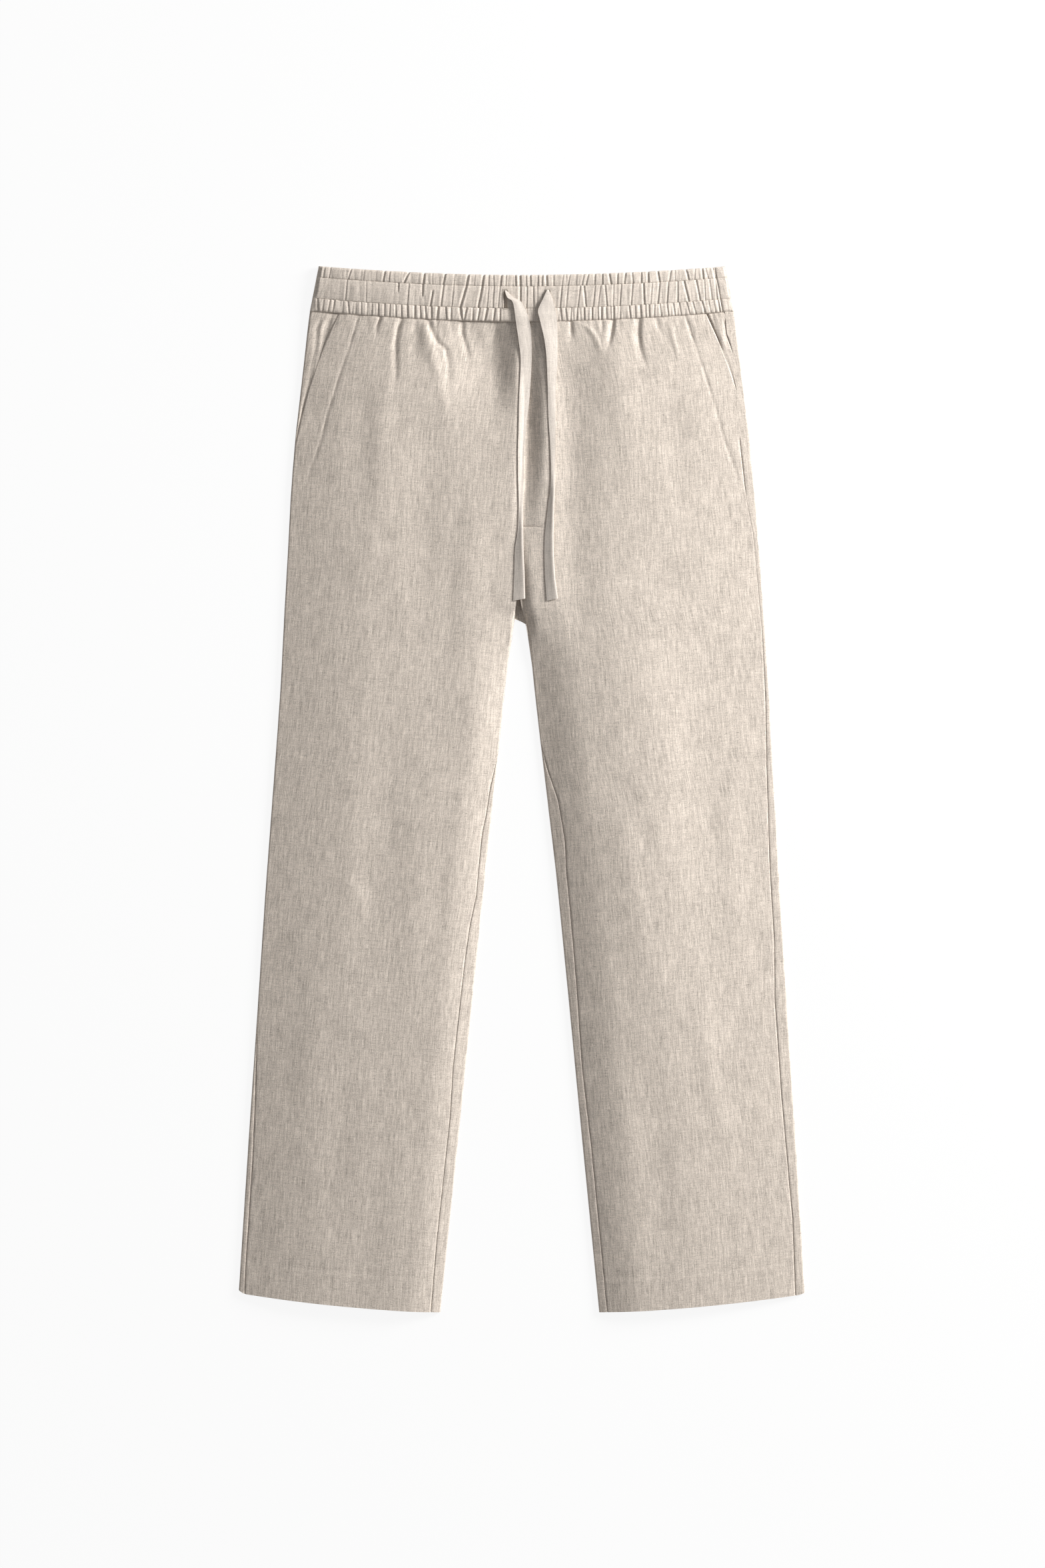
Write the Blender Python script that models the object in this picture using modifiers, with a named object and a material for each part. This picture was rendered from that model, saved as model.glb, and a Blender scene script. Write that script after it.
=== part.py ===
"""Drawstring trousers in linen, laid flat on their back with the front up.

Metres, +Z up from the surface, +Y towards the waist, +X to the wearer's left.
The origin is the middle of the garment's footprint. The upper cloth is the front, the lower
cloth the back; the back turns round both edges of each leg and meets the front at the
outseam and the inseam, a little way in from the folded edges.
"""

import math
from collections import namedtuple

import bmesh
import bpy

# Sizes of the whole garment
LENGTH = 1.022  # waist to the lowest point of the hem
WAIST_DIP = 0.009  # the waist drops this much at its middle
BAND_HEIGHT = 0.0445  # waistband at its sides
BAND_GROWS = 0.0015  # the band is this much taller at its middle
HEM_RISE = 0.020  # the hem climbs this much from inseam to outseam
HEM_BELLY = 0.0025  # and hangs this much below a straight line

# Cloth
WALL = 0.0019  # a leg panel
BAND_WALL = 0.0028  # gathered casing with its elastic
FACING_WALL = 0.0016
SEAM_GAP = 0.0005  # between two pieces sewn together
BAND_SEAM_GAP = 0.0007  # and below the waistband
FOLD_RADIUS = 0.0026  # outside of a leg's folded edge
BAND_FOLD_RADIUS = 0.0038
CROWN = 0.0074  # height of the front over the middle of a leg
BAND_CROWN = 0.0094
OUTER_SLOPE = 0.062  # the cloth falls to the outer fold over this width
INNER_SLOPE = 0.036  # and to the inner fold over this one
FLY_VALLEY = 0.0008  # depth of the hollow down the middle
VALLEY_HALF_WIDTH = 0.080
GROOVE = 0.0008  # depth of a stitched row in the band
GROOVE_HALF_WIDTH = 0.0045
BAND_EDGE_ROUNDING = 0.0008

# Crotch: where the two fronts part, and where the two backs part below them
FRONT_FORK_Y = 0.187
BACK_FORK_Y = 0.1655
BACK_FORK_TURN = 0.040  # the back's inner edge rolls up over this length below its fork

# Slant pocket: its mouth runs from the waist seam to the outseam
MOUTH_TOP_X = 0.180
MOUTH_BOTTOM_Y = 0.312
MOUTH_BOW = 0.003
FACING_DROP = 0.0009  # the facing lies this much lower than the front
FACING_DROP_WIDTH = 0.012  # less where it is narrower than this

# Waistband ends: the back band comes round each side onto the front
BAND_WRAP = 0.0125

# Buttonholes that the drawstring leaves by
SLIT_LENGTH = 0.0190
SLIT_WIDTH = 0.0032
SLIT_TOP_Y = 0.4885
SLIT_X = {"right": -0.0159, "left": 0.0254}

# Drawstring tape
TAPE_THICK = 0.0017
TAPE_CLEAR = 0.0008  # between the tape and the cloth under it

Section = namedtuple("Section", "y outer inner")
SECTIONS = (  # half of the laid outline, from waist to hem
    Section(0.5110, 0.2005, 0.0000),
    Section(0.4660, 0.2085, 0.0000),
    Section(0.4120, 0.2145, 0.0000),
    Section(0.3470, 0.2220, 0.0000),
    Section(0.2820, 0.2275, 0.0000),
    Section(0.1655, 0.2350, 0.0000),
    Section(0.1600, 0.2353, 0.0060),
    Section(0.1200, 0.2376, 0.0120),
    Section(0.0550, 0.2415, 0.0190),
    Section(-0.0750, 0.2500, 0.0338),
    Section(-0.2050, 0.2584, 0.0470),
    Section(-0.3350, 0.2670, 0.0598),
    Section(-0.5110, 0.2780, 0.0777),
)
CROTCH_Y = 0.1600  # below this the legs are apart

Seam = namedtuple("Seam", "y outseam inseam")
SEAMS = (  # how far in from the folded edges the seams lie on the front
    Seam(0.4660, 0.0036, 0.0030),
    Seam(0.1600, 0.0038, 0.0032),
    Seam(0.0200, 0.0042, 0.0042),
    Seam(-0.0150, 0.0044, 0.0105),
    Seam(-0.2050, 0.0060, 0.0098),
    Seam(-0.5110, 0.0072, 0.0098),
)

Fold = namedtuple("Fold", "x_top y_top x_low y_low height half_width")
FOLDS = (  # the largest folds of the front; a negative height is a trough
    Fold(0.0182, 0.456, 0.0190, 0.300, 0.0011, 0.0120),
    Fold(0.0065, 0.456, 0.0040, 0.320, -0.0011, 0.0110),
    Fold(-0.0035, 0.450, -0.0050, 0.330, 0.0008, 0.0100),
    Fold(-0.0230, 0.458, -0.0270, 0.330, -0.0011, 0.0150),
    Fold(0.0400, 0.448, 0.0560, 0.170, -0.0009, 0.0240),
    Fold(0.1020, 0.450, 0.1310, 0.230, 0.0007, 0.0300),
    Fold(0.1150, 0.462, 0.1230, 0.395, -0.0009, 0.0110),
    Fold(0.0890, 0.462, 0.0800, 0.410, -0.0009, 0.0110),
    Fold(-0.0930, 0.458, -0.0700, 0.340, 0.0007, 0.0140),
    Fold(-0.1270, 0.460, -0.1300, 0.350, 0.0006, 0.0120),
    Fold(-0.0600, 0.458, -0.0500, 0.390, -0.0007, 0.0110),
)

Station = namedtuple("Station", "y high_x low_x high_lift low_lift")
DRAWSTRINGS = {  # each tape's two edges; one lies on the cloth and the other stands off it
    "right": (
        Station(0.4866, -0.0168, -0.0150, -0.0032, -0.0032),
        Station(0.4846, -0.0164, -0.0138, 0.0004, 0.0000),
        Station(0.4790, -0.0140, -0.0075, 0.0024, 0.0000),
        Station(0.4739, -0.0091, 0.0007, 0.0034, 0.0000),
        Station(0.4557, -0.0058, 0.0071, 0.0040, 0.0004),
        Station(0.4368, -0.0036, 0.0091, 0.0055, 0.0004),
        Station(0.4167, -0.0013, 0.0094, 0.0070, 0.0004),
        Station(0.3822, -0.0020, 0.0078, 0.0064, 0.0000),
        Station(0.3549, -0.0030, 0.0045, 0.0060, 0.0000),
        Station(0.3320, -0.0042, 0.0020, 0.0056, 0.0000),
        Station(0.3050, -0.0040, -0.0008, 0.0056, 0.0000),
        Station(0.2760, -0.0022, -0.0034, 0.0056, 0.0000),
        Station(0.2340, 0.0002, -0.0065, 0.0052, 0.0000),
        Station(0.2100, 0.0018, -0.0078, 0.0044, 0.0000),
        Station(0.1865, 0.0030, -0.0084, 0.0034, 0.0000),
    ),
    "left": (
        Station(0.4866, 0.0245, 0.0263, -0.0032, -0.0032),
        Station(0.4846, 0.0240, 0.0268, 0.0004, 0.0000),
        Station(0.4780, 0.0208, 0.0296, 0.0022, 0.0000),
        Station(0.4674, 0.0162, 0.0326, 0.0040, 0.0000),
        Station(0.4570, 0.0182, 0.0342, 0.0052, 0.0000),
        Station(0.4368, 0.0221, 0.0348, 0.0070, 0.0000),
        Station(0.4167, 0.0247, 0.0345, 0.0076, 0.0000),
        Station(0.3900, 0.0252, 0.0342, 0.0070, 0.0000),
        Station(0.3640, 0.0260, 0.0332, 0.0064, 0.0000),
        Station(0.3367, 0.0290, 0.0326, 0.0060, 0.0000),
        Station(0.3094, 0.0316, 0.0304, 0.0058, 0.0000),
        Station(0.2756, 0.0310, 0.0262, 0.0054, 0.0000),
        Station(0.2431, 0.0305, 0.0218, 0.0046, 0.0000),
        Station(0.2100, 0.0318, 0.0226, 0.0040, 0.0000),
        Station(0.1862, 0.0346, 0.0242, 0.0032, 0.0000),
    ),
}

# How finely the cloth is cut into faces
LEG_ROWS_Y = (  # heights at which a leg's rows of faces cross the middle line
    0.456, 0.440, 0.418, 0.390, 0.355, 0.320, 0.305, 0.300, 0.265, 0.230, 0.205, 0.187, 0.1656,
    0.160, 0.150, 0.138, 0.120, 0.070, 0.010, -0.060, -0.150, -0.260, -0.390, -0.520,
)  # fmt: skip
FACING_ROWS = 7  # the facing ends just above the foot of the mouth
FRONT_COLUMNS = 16
INNER_FLAT = 0.006  # flat cloth that moves with the inner roll
UNDER_STEPS = 5
BAND_COLUMNS = 22
BAND_UNDER_STEPS = 11
BAND_ROWS = (0.0, 0.10, 0.20, 0.26, 0.34, 0.50, 0.64, 0.71, 0.79, 0.90, 1.0)
BAND_ROWS_STITCHED = (0.26, 0.71)  # where the casing is stitched down, as shares of its height
FACING_COLUMNS = 3
ARC_STEPS = 5
TAPE_ROWS = 32
TAPE_COLUMNS = 2

Colour = namedtuple("Colour", "red green blue roughness")
LINEN = Colour(0.52, 0.46, 0.39, 0.92)
LINEN_BAND = Colour(0.53, 0.47, 0.40, 0.92)
LINEN_TAPE = Colour(0.66, 0.60, 0.53, 0.90)

SIDES = {"left": 1, "right": -1}  # the wearer's left is +X


# ---------------------------------------------------------------- reading the tables


def ease(t):
    """0 to 1 with level ends."""
    t = min(max(t, 0.0), 1.0)
    return t * t * (3.0 - 2.0 * t)


def ramp(t):
    """0 to 1, straight at first and rounded over at its end."""
    t = min(max(t, 0.0), 1.0)
    return 0.6 * math.sin(0.5 * math.pi * t) + 0.4 * t


def read(rows, y, column):
    """A column of a table at height y, its rows running down the garment."""
    if y >= rows[0].y:
        return getattr(rows[0], column)
    for upper, lower in zip(rows, rows[1:]):
        if y >= lower.y:
            share = (upper.y - y) / (upper.y - lower.y)
            return getattr(upper, column) * (1 - share) + getattr(lower, column) * share
    return getattr(rows[-1], column)


def smooth_read(rows, position, column):
    """A column along a smooth curve through all its rows; position counts the rows."""
    index = min(int(position), len(rows) - 2)
    t = position - index
    a, b, c, d = (
        getattr(rows[min(max(index + k, 0), len(rows) - 1)], column) for k in (-1, 0, 1, 2)
    )
    curve = (-a + 3 * b - 3 * c + d) * t**3 + (2 * a - 5 * b + 4 * c - d) * t**2 + (c - a) * t
    return b + 0.5 * curve


# ---------------------------------------------------------------- the garment's lines


def outer_edge(y):
    return read(SECTIONS, y, "outer")


def inner_edge(y):
    return read(SECTIONS, y, "inner")


def waist_line(x):
    """The waist's top edge."""
    half = SECTIONS[0].outer
    return LENGTH / 2 - WAIST_DIP * max(0.0, 1 - (x / half) ** 2)


def band_seam(x):
    """The seam that joins the band to the legs."""
    half = SECTIONS[1].outer
    return waist_line(x) - BAND_HEIGHT - BAND_GROWS * max(0.0, 1 - (x / half) ** 2)


def hem_line(x):
    """The hem of the leg on the side of x, climbing outwards."""
    low, high = SECTIONS[-1].inner, SECTIONS[-1].outer
    share = (abs(x) - low) / (high - low)
    return -LENGTH / 2 + HEM_RISE * share - HEM_BELLY * 4 * max(0.0, share * (1 - share))


def row_share(y_middle):
    """How far down the leg a row lies, from the height at which it crosses x = 0."""
    top, low = band_seam(0), hem_line(0)
    return min(max((top - y_middle) / (top - low), 0.0), 1.0)


def row_height(x, share):
    return band_seam(x) * (1 - share) + hem_line(x) * share


def outseam_line(y):
    return outer_edge(y) - read(SEAMS, y, "outseam")


def mouth_line(y):
    """The slant pocket's mouth, from the waist seam out to the outseam."""
    top_y = band_seam(MOUTH_TOP_X)
    share = min(max((top_y - y) / (top_y - MOUTH_BOTTOM_Y), 0.0), 1.0)
    bottom_x = outseam_line(MOUTH_BOTTOM_Y)
    return MOUTH_TOP_X + (bottom_x - MOUTH_TOP_X) * share - MOUTH_BOW * math.sin(math.pi * share)


def front_outer_line(y):
    """The front's outer edge: the pocket's mouth, then the outseam."""
    return mouth_line(y) if y > MOUTH_BOTTOM_Y else outseam_line(y)


def front_inner_line(y):
    """The front's inner edge: the middle seam, the fork, then the inseam."""
    inseam = inner_edge(min(y, CROTCH_Y)) + read(SEAMS, y, "inseam")
    opening = ease((FRONT_FORK_Y - y) / (FRONT_FORK_Y - CROTCH_Y))
    return SEAM_GAP / 2 + (inseam - SEAM_GAP / 2) * opening


# ---------------------------------------------------------------- heights


def fold_height(x, y, fold):
    """A soft ridge or trough along a straight line, fading towards its lower end."""
    run_x, run_y = fold.x_low - fold.x_top, fold.y_low - fold.y_top
    length = math.hypot(run_x, run_y)
    along = ((x - fold.x_top) * run_x + (y - fold.y_top) * run_y) / length
    away = abs((x - fold.x_top) * run_y - (y - fold.y_top) * run_x) / length
    if away >= fold.half_width:
        return 0.0
    fade = ease(1 + along / fold.half_width) * (1 - ease(along / length))
    return fold.height * fade * math.cos(0.5 * math.pi * away / fold.half_width) ** 2


def cloth_top(x, y):
    """The height of the front cloth's outer face above the surface."""
    side = abs(x)
    from_outside = outer_edge(y) - side - FOLD_RADIUS
    rise = ramp(from_outside / OUTER_SLOPE)
    if y < BACK_FORK_Y:
        from_inside = side - inner_edge(y) - FOLD_RADIUS
        blend = ease((BACK_FORK_Y - y) / BACK_FORK_TURN)
        rise *= 1 - blend * (1 - ramp(from_inside / INNER_SLOPE))
    edge = 2 * FOLD_RADIUS
    fade = ease((y - BACK_FORK_Y) / BACK_FORK_TURN + 1)
    valley = FLY_VALLEY * (1 - ease(side / VALLEY_HALF_WIDTH)) * fade
    folds = sum(fold_height(x, y, fold) for fold in FOLDS)
    return edge + (CROWN - edge) * rise - valley + folds * ease(from_outside / OUTER_SLOPE)


def band_rounding(share):
    """How much the band thins towards its top edge and its seam; share runs from top to seam."""
    return BAND_EDGE_ROUNDING * (2 - ease(share / 0.12) - ease((1 - share) / 0.10))


def band_top(x, share):
    """The height of the front band's outer face."""
    from_outside = SECTIONS[1].outer - abs(x) - BAND_FOLD_RADIUS
    edge = 2 * BAND_FOLD_RADIUS
    rise = ramp(from_outside / OUTER_SLOPE)
    stitched = sum(
        GROOVE * (1 - ease(abs(share - row) * BAND_HEIGHT / GROOVE_HALF_WIDTH))
        for row in BAND_ROWS_STITCHED
    )
    return edge + (BAND_CROWN - edge) * rise - band_rounding(share) - stitched * rise


def garment_top(x, y):
    """The highest cloth near a point, on the band or below it."""
    highest = 0.0
    for y_near in (y - 0.003, y, y + 0.003):
        share = (waist_line(x) - y_near) / (waist_line(x) - band_seam(x))
        here = band_top(x, max(share, 0.0)) if share <= 1 else cloth_top(x, y_near)
        highest = max(highest, here)
    return highest


# ---------------------------------------------------------------- making pieces


def clear_scene():
    for thing in list(bpy.data.objects):
        bpy.data.objects.remove(thing)


def new_collection(name):
    collection = bpy.data.collections.new(name)
    bpy.context.scene.collection.children.link(collection)
    return collection


def cloth_material(name, colour):
    material = bpy.data.materials.new(name)
    material.use_nodes = True
    shader = material.node_tree.nodes["Principled BSDF"]
    shader.inputs["Base Color"].default_value = (colour.red, colour.green, colour.blue, 1.0)
    shader.inputs["Roughness"].default_value = colour.roughness
    shader.inputs["Metallic"].default_value = 0.0
    return material


def cloth_piece(name, rows, wall, colour, collection, offset=-1.0):
    """A wall of cloth on a grid of points, by rows, whose columns run so that it faces outwards."""
    n_rows, n_columns = len(rows) - 1, len(rows[0]) - 1
    mesh = bmesh.new()
    bmesh.ops.create_grid(mesh, x_segments=n_columns, y_segments=n_rows, size=1.0)
    for vertex in mesh.verts:
        column = round((vertex.co.x + 1) / 2 * n_columns)
        row = round((1 - vertex.co.y) / 2 * n_rows)
        vertex.co = rows[row][column]
    data = bpy.data.meshes.new(name)
    mesh.to_mesh(data)
    mesh.free()
    data.materials.append(cloth_material(name + " linen", colour))
    data.shade_smooth()
    piece = bpy.data.objects.new(name, data)
    collection.objects.link(piece)
    cloth = piece.modifiers.new("cloth wall", "SOLIDIFY")
    cloth.thickness = wall
    cloth.offset = offset
    return piece


def for_side(rows, side):
    """Rows made for the wearer's left, turned over for the right."""
    if side > 0:
        return rows
    return [[(-x, y, z) for x, y, z in reversed(row)] for row in rows]


# ---------------------------------------------------------------- leg panels


def front_rows(side):
    """Points of a front panel, from the waist seam to the hem and from the middle outwards."""
    rows = []
    for y_middle in LEG_ROWS_Y:
        share = row_share(y_middle)
        row = []
        for column in range(FRONT_COLUMNS + 1):
            across = (column / FRONT_COLUMNS) ** 1.4
            x = 0.1
            for _ in range(6):
                y = row_height(x, share)
                x = front_inner_line(y) * (1 - across) + front_outer_line(y) * across
            row.append((x, y - BAND_SEAM_GAP * (1 - share), cloth_top(side * x, y)))
        rows.append(row)
    return for_side(rows, side)


def path_point(path, distance):
    """The point at a distance along a path of points."""
    for start, end in zip(path, path[1:]):
        length = math.dist(start, end)
        if distance <= length:
            t = distance / length
            return (start[0] * (1 - t) + end[0] * t, start[1] * (1 - t) + end[1] * t)
        distance -= length
    return path[-1]


def inner_roll(y, side):
    """The back's section from its inner edge round the inner fold to the flat underside.

    Above the back's fork it lies flat, and below the fork it takes up its roll bit by bit.
    """
    y_roll = min(y, BACK_FORK_Y)
    inner = inner_edge(y_roll)
    seam_x = front_inner_line(y_roll) - SEAM_GAP
    path = [(seam_x, cloth_top(side * seam_x, y_roll))]
    for step in range(ARC_STEPS + 1):
        angle = math.pi * (1 - step / ARC_STEPS)
        path.append(
            (inner + FOLD_RADIUS * (1 - math.sin(angle)), FOLD_RADIUS * (1 - math.cos(angle)))
        )
    flat_end = (inner + FOLD_RADIUS + INNER_FLAT, 0.0)
    lengths = [math.dist(a, b) for a, b in zip(path, path[1:] + [flat_end])]
    shares = [sum(lengths[:k]) / sum(lengths) for k in range(len(lengths) + 1)]
    if y >= BACK_FORK_Y:
        return [(SEAM_GAP / 2 + (flat_end[0] - SEAM_GAP / 2) * share, 0.0) for share in shares]
    start = sum(lengths[:-1]) * (1 - ease((BACK_FORK_Y - y) / BACK_FORK_TURN))
    path.append(flat_end)
    return [path_point(path, start + (sum(lengths) - start) * share) for share in shares]


def outer_roll(y, side):
    """The back's section from the flat underside round the outer fold to the outseam."""
    outer = outer_edge(y)
    roll = []
    for step in range(ARC_STEPS + 1):
        angle = math.pi * step / ARC_STEPS
        roll.append(
            (outer - FOLD_RADIUS * (1 - math.sin(angle)), FOLD_RADIUS * (1 - math.cos(angle)))
        )
    seam_x = outseam_line(y) + SEAM_GAP
    return roll + [(seam_x, cloth_top(side * seam_x, y))]


def back_section(y, side):
    """A leg's back in section: inner fold, underside, outer fold."""
    inner, outer = inner_roll(y, side), outer_roll(y, side)
    (x0, _), (x1, _) = inner[-1], outer[0]
    under = [(x0 + (x1 - x0) * k / UNDER_STEPS, 0.0) for k in range(1, UNDER_STEPS)]
    return inner + under + outer


def back_rows(side):
    """Points of a back panel, from the waist seam to the hem and from the outseam inwards."""
    n_columns = len(back_section(0.0, side))
    rows = []
    for y_middle in LEG_ROWS_Y:
        share = row_share(y_middle)
        row = []
        for column in range(n_columns):
            y = y_middle
            for _ in range(4):
                x, z = back_section(y, side)[column]
                y = row_height(x, share)
            row.append((x, y - BAND_SEAM_GAP * (1 - share), z))
        rows.append(row[::-1])
    return for_side(rows, side)


def facing_rows(side):
    """Points of the pocket facing that shows between the mouth and the outseam."""
    rows = []
    for y_middle in LEG_ROWS_Y[:FACING_ROWS]:
        share = row_share(y_middle)
        row = []
        for column in range(FACING_COLUMNS + 1):
            across = column / FACING_COLUMNS
            x = MOUTH_TOP_X
            for _ in range(6):
                y = row_height(x, share)
                x = (mouth_line(y) + SEAM_GAP) * (1 - across) + outseam_line(y) * across
            width = outseam_line(y) - mouth_line(y)
            drop = FACING_DROP * (1 - across) * ease(width / FACING_DROP_WIDTH)
            row.append((x, y - BAND_SEAM_GAP * (1 - share), cloth_top(side * x, y) - drop))
        rows.append(row)
    return for_side(rows, side)


# ---------------------------------------------------------------- waistband


def band_point(x, z, share):
    return (x, waist_line(x) * (1 - share) + band_seam(x) * share, z)


def band_half_width(share):
    return SECTIONS[0].outer * (1 - share) + SECTIONS[1].outer * share


def waistband_front_rows():
    rows = []
    for share in BAND_ROWS:
        half = band_half_width(share) - BAND_WRAP
        row = []
        for column in range(BAND_COLUMNS + 1):
            x = half * (2 * column / BAND_COLUMNS - 1)
            row.append(band_point(x, band_top(x, share), share))
        rows.append(row)
    return rows


def waistband_back_rows():
    """From the wearer's left side seam round under the body to the right one."""
    rows = []
    for share in BAND_ROWS:
        half = band_half_width(share)
        seam_x = half - BAND_WRAP + SEAM_GAP
        height = 2 * BAND_FOLD_RADIUS - band_rounding(share)
        left = [(seam_x, band_top(seam_x, share))]
        for step in range(ARC_STEPS + 1):
            angle = math.pi * (1 - step / ARC_STEPS)
            x = half - BAND_FOLD_RADIUS * (1 - math.sin(angle))
            left.append((x, height * (1 - math.cos(angle)) / 2))
        flat_half = left[-1][0]
        under = [
            (flat_half * (1 - 2 * k / BAND_UNDER_STEPS), 0.0) for k in range(1, BAND_UNDER_STEPS)
        ]
        right = [(-x, z) for x, z in reversed(left)]
        rows.append([band_point(x, z, share) for x, z in left + under + right])
    return rows


def cut_buttonhole(band, x, collection):
    """A slit through the band, cut by a slab."""
    bpy.ops.mesh.primitive_cube_add(size=1.0, location=(x, SLIT_TOP_Y - SLIT_LENGTH / 2, 0.007))
    slab = bpy.context.object
    slab.name = band.name + " buttonhole cutter"
    slab.scale = (SLIT_WIDTH, SLIT_LENGTH, 0.0068)
    slab.hide_render = True
    slab.display_type = "WIRE"
    for owner in list(slab.users_collection):
        owner.objects.unlink(slab)
    collection.objects.link(slab)
    cut = band.modifiers.new("buttonhole", "BOOLEAN")
    cut.operation = "DIFFERENCE"
    cut.object = slab


# ---------------------------------------------------------------- drawstring


def tape_rows(stations):
    """Points across a tape, from the buttonhole to its free end."""
    rows = []
    for step in range(TAPE_ROWS + 1):
        position = (len(stations) - 1) * step / TAPE_ROWS
        at = {name: smooth_read(stations, position, name) for name in Station._fields}
        row = []
        for column in range(TAPE_COLUMNS + 1):
            across = column / TAPE_COLUMNS
            x = at["high_x"] * (1 - across) + at["low_x"] * across
            lift = at["high_lift"] * (1 - across) + at["low_lift"] * across
            cloth = max(garment_top(x + dx, at["y"]) for dx in (-0.004, 0.0, 0.004))
            row.append((x, at["y"], cloth + TAPE_CLEAR + TAPE_THICK / 2 + lift))
        rows.append(row)
    return rows


def main():
    clear_scene()
    joggers = new_collection("joggers")
    cutters = new_collection("cutters")
    for name, side in SIDES.items():
        cloth_piece("front_" + name, front_rows(side), WALL, LINEN, joggers)
        cloth_piece("back_" + name, back_rows(side), WALL, LINEN, joggers)
        cloth_piece("pocket_facing_" + name, facing_rows(side), FACING_WALL, LINEN, joggers)
    band = cloth_piece("waistband_front", waistband_front_rows(), BAND_WALL, LINEN_BAND, joggers)
    cloth_piece("waistband_back", waistband_back_rows(), BAND_WALL, LINEN_BAND, joggers)
    for x in SLIT_X.values():
        cut_buttonhole(band, x, cutters)
    for name, stations in DRAWSTRINGS.items():
        cloth_piece(
            "drawstring_" + name, tape_rows(stations), TAPE_THICK, LINEN_TAPE, joggers, offset=0.0
        )


main()
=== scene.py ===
"""Linen joggers laid flat on their back, front up, with a gathered waistband, a tape
drawstring, slant pockets and a mock fly.

Metres, +Z up from the surface, +Y towards the waist, +X to the wearer's left. Each operator
makes one piece, or a group of like pieces, in its place; the stage operator sets the floor,
the lamps and the camera.
"""

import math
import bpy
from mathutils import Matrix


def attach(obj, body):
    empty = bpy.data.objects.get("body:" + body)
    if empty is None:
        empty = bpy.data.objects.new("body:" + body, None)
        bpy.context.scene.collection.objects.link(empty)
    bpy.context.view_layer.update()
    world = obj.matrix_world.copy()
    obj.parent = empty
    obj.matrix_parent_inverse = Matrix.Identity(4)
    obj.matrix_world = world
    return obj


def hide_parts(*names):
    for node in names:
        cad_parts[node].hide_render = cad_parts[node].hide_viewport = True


bl_info = {
    "name": "Linen joggers",
    "version": (1, 0, 0),
    "blender": (4, 5, 0),
    "location": "View3D > Sidebar > Joggers",
    "description": "Drawstring joggers in slubby linen, laid flat, and the stage they lie on",
    "category": "Add Mesh",
}

from collections import namedtuple

import bpy
import numpy as np

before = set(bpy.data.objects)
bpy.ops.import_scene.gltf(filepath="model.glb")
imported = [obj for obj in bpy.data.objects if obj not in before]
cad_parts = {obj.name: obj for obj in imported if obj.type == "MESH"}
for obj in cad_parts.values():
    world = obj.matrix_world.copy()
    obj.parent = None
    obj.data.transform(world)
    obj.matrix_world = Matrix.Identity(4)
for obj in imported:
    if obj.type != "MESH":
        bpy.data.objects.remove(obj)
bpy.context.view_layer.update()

# ---------------------------------------------------------------- sizes of the garment, in metres

SIDES = {"left": 1, "right": -1}  # the wearer's left is +X
LENGTH = 1.022  # waist to the lowest point of the hem
WAIST_DIP = 0.009  # the waist drops this much at its middle
BAND_HEIGHT = 0.0445
BAND_GROWS = 0.0015  # the band is this much taller at its middle
HEM_RISE = {"left": 0.018, "right": 0.019}  # the hem climbs this much from inseam to outseam
HEM_BELLY = 0.0025
HEM_CORNER = {"left": 0.002, "right": 0.004}  # the outer corners are rounded off

CROWN = 0.0104  # height of the front over the middle of a leg
BAND_CROWN = 0.0102
FOLD_RADIUS = 0.0017  # outside of a leg's folded edge
WAIST_SWELL = 0.0008  # added to it under the band
BAND_FOLD_RADIUS = 0.0030
OUTER_SLOPE = {"left": 0.120, "right": 0.082}  # the cloth falls to the outer fold over this width
INNER_SLOPE = {"left": 0.046, "right": 0.034}
SEAM_GAP = 0.00025
LOWEST = 0.0014  # no outer face of a front comes nearer the floor

FORK_TOP_Y = {"left": 0.187, "right": 0.203}  # where each front leaves the middle seam
FORK_CURVE = {"left": 1.4, "right": 0.6}
BACK_FORK_Y = 0.1642  # where the two backs part
CROTCH_Y = 0.1600
FORK_SWELL = 0.0022  # the inner folds are this much rounder at the fork
FORK_REACH = 0.050
FORK_TILT = 0.38  # the fork's lower edge runs aslant

MOUTH_TOP_X = 0.180  # slant pocket: its mouth runs from the waist seam to the outseam
MOUTH_BOTTOM = (0.2195, 0.350)
MOUTH_BOW = 0.0042
BAND_WRAP = 0.0125  # the back band comes round each side onto the front

SLIT_TOP_Y = 0.4862  # buttonholes that the drawstring leaves by
SLIT_LENGTH = 0.0168
SLIT_X = {"right": -0.0159, "left": 0.0254}

Section = namedtuple("Section", "y outer inner")
SECTIONS = (  # half of the laid outline, from waist to hem
    Section(0.5110, 0.2005, 0.0000),
    Section(0.4660, 0.2085, 0.0000),
    Section(0.4120, 0.2145, 0.0000),
    Section(0.3470, 0.2220, 0.0000),
    Section(0.2820, 0.2275, 0.0000),
    Section(0.1643, 0.2351, 0.0000),
    Section(0.1642, 0.2351, 0.0054),
    Section(0.1600, 0.2353, 0.0060),
    Section(0.1200, 0.2376, 0.0120),
    Section(0.0550, 0.2415, 0.0190),
    Section(-0.0750, 0.2500, 0.0338),
    Section(-0.2050, 0.2584, 0.0470),
    Section(-0.3350, 0.2670, 0.0598),
    Section(-0.5110, 0.2780, 0.0777),
)

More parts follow.
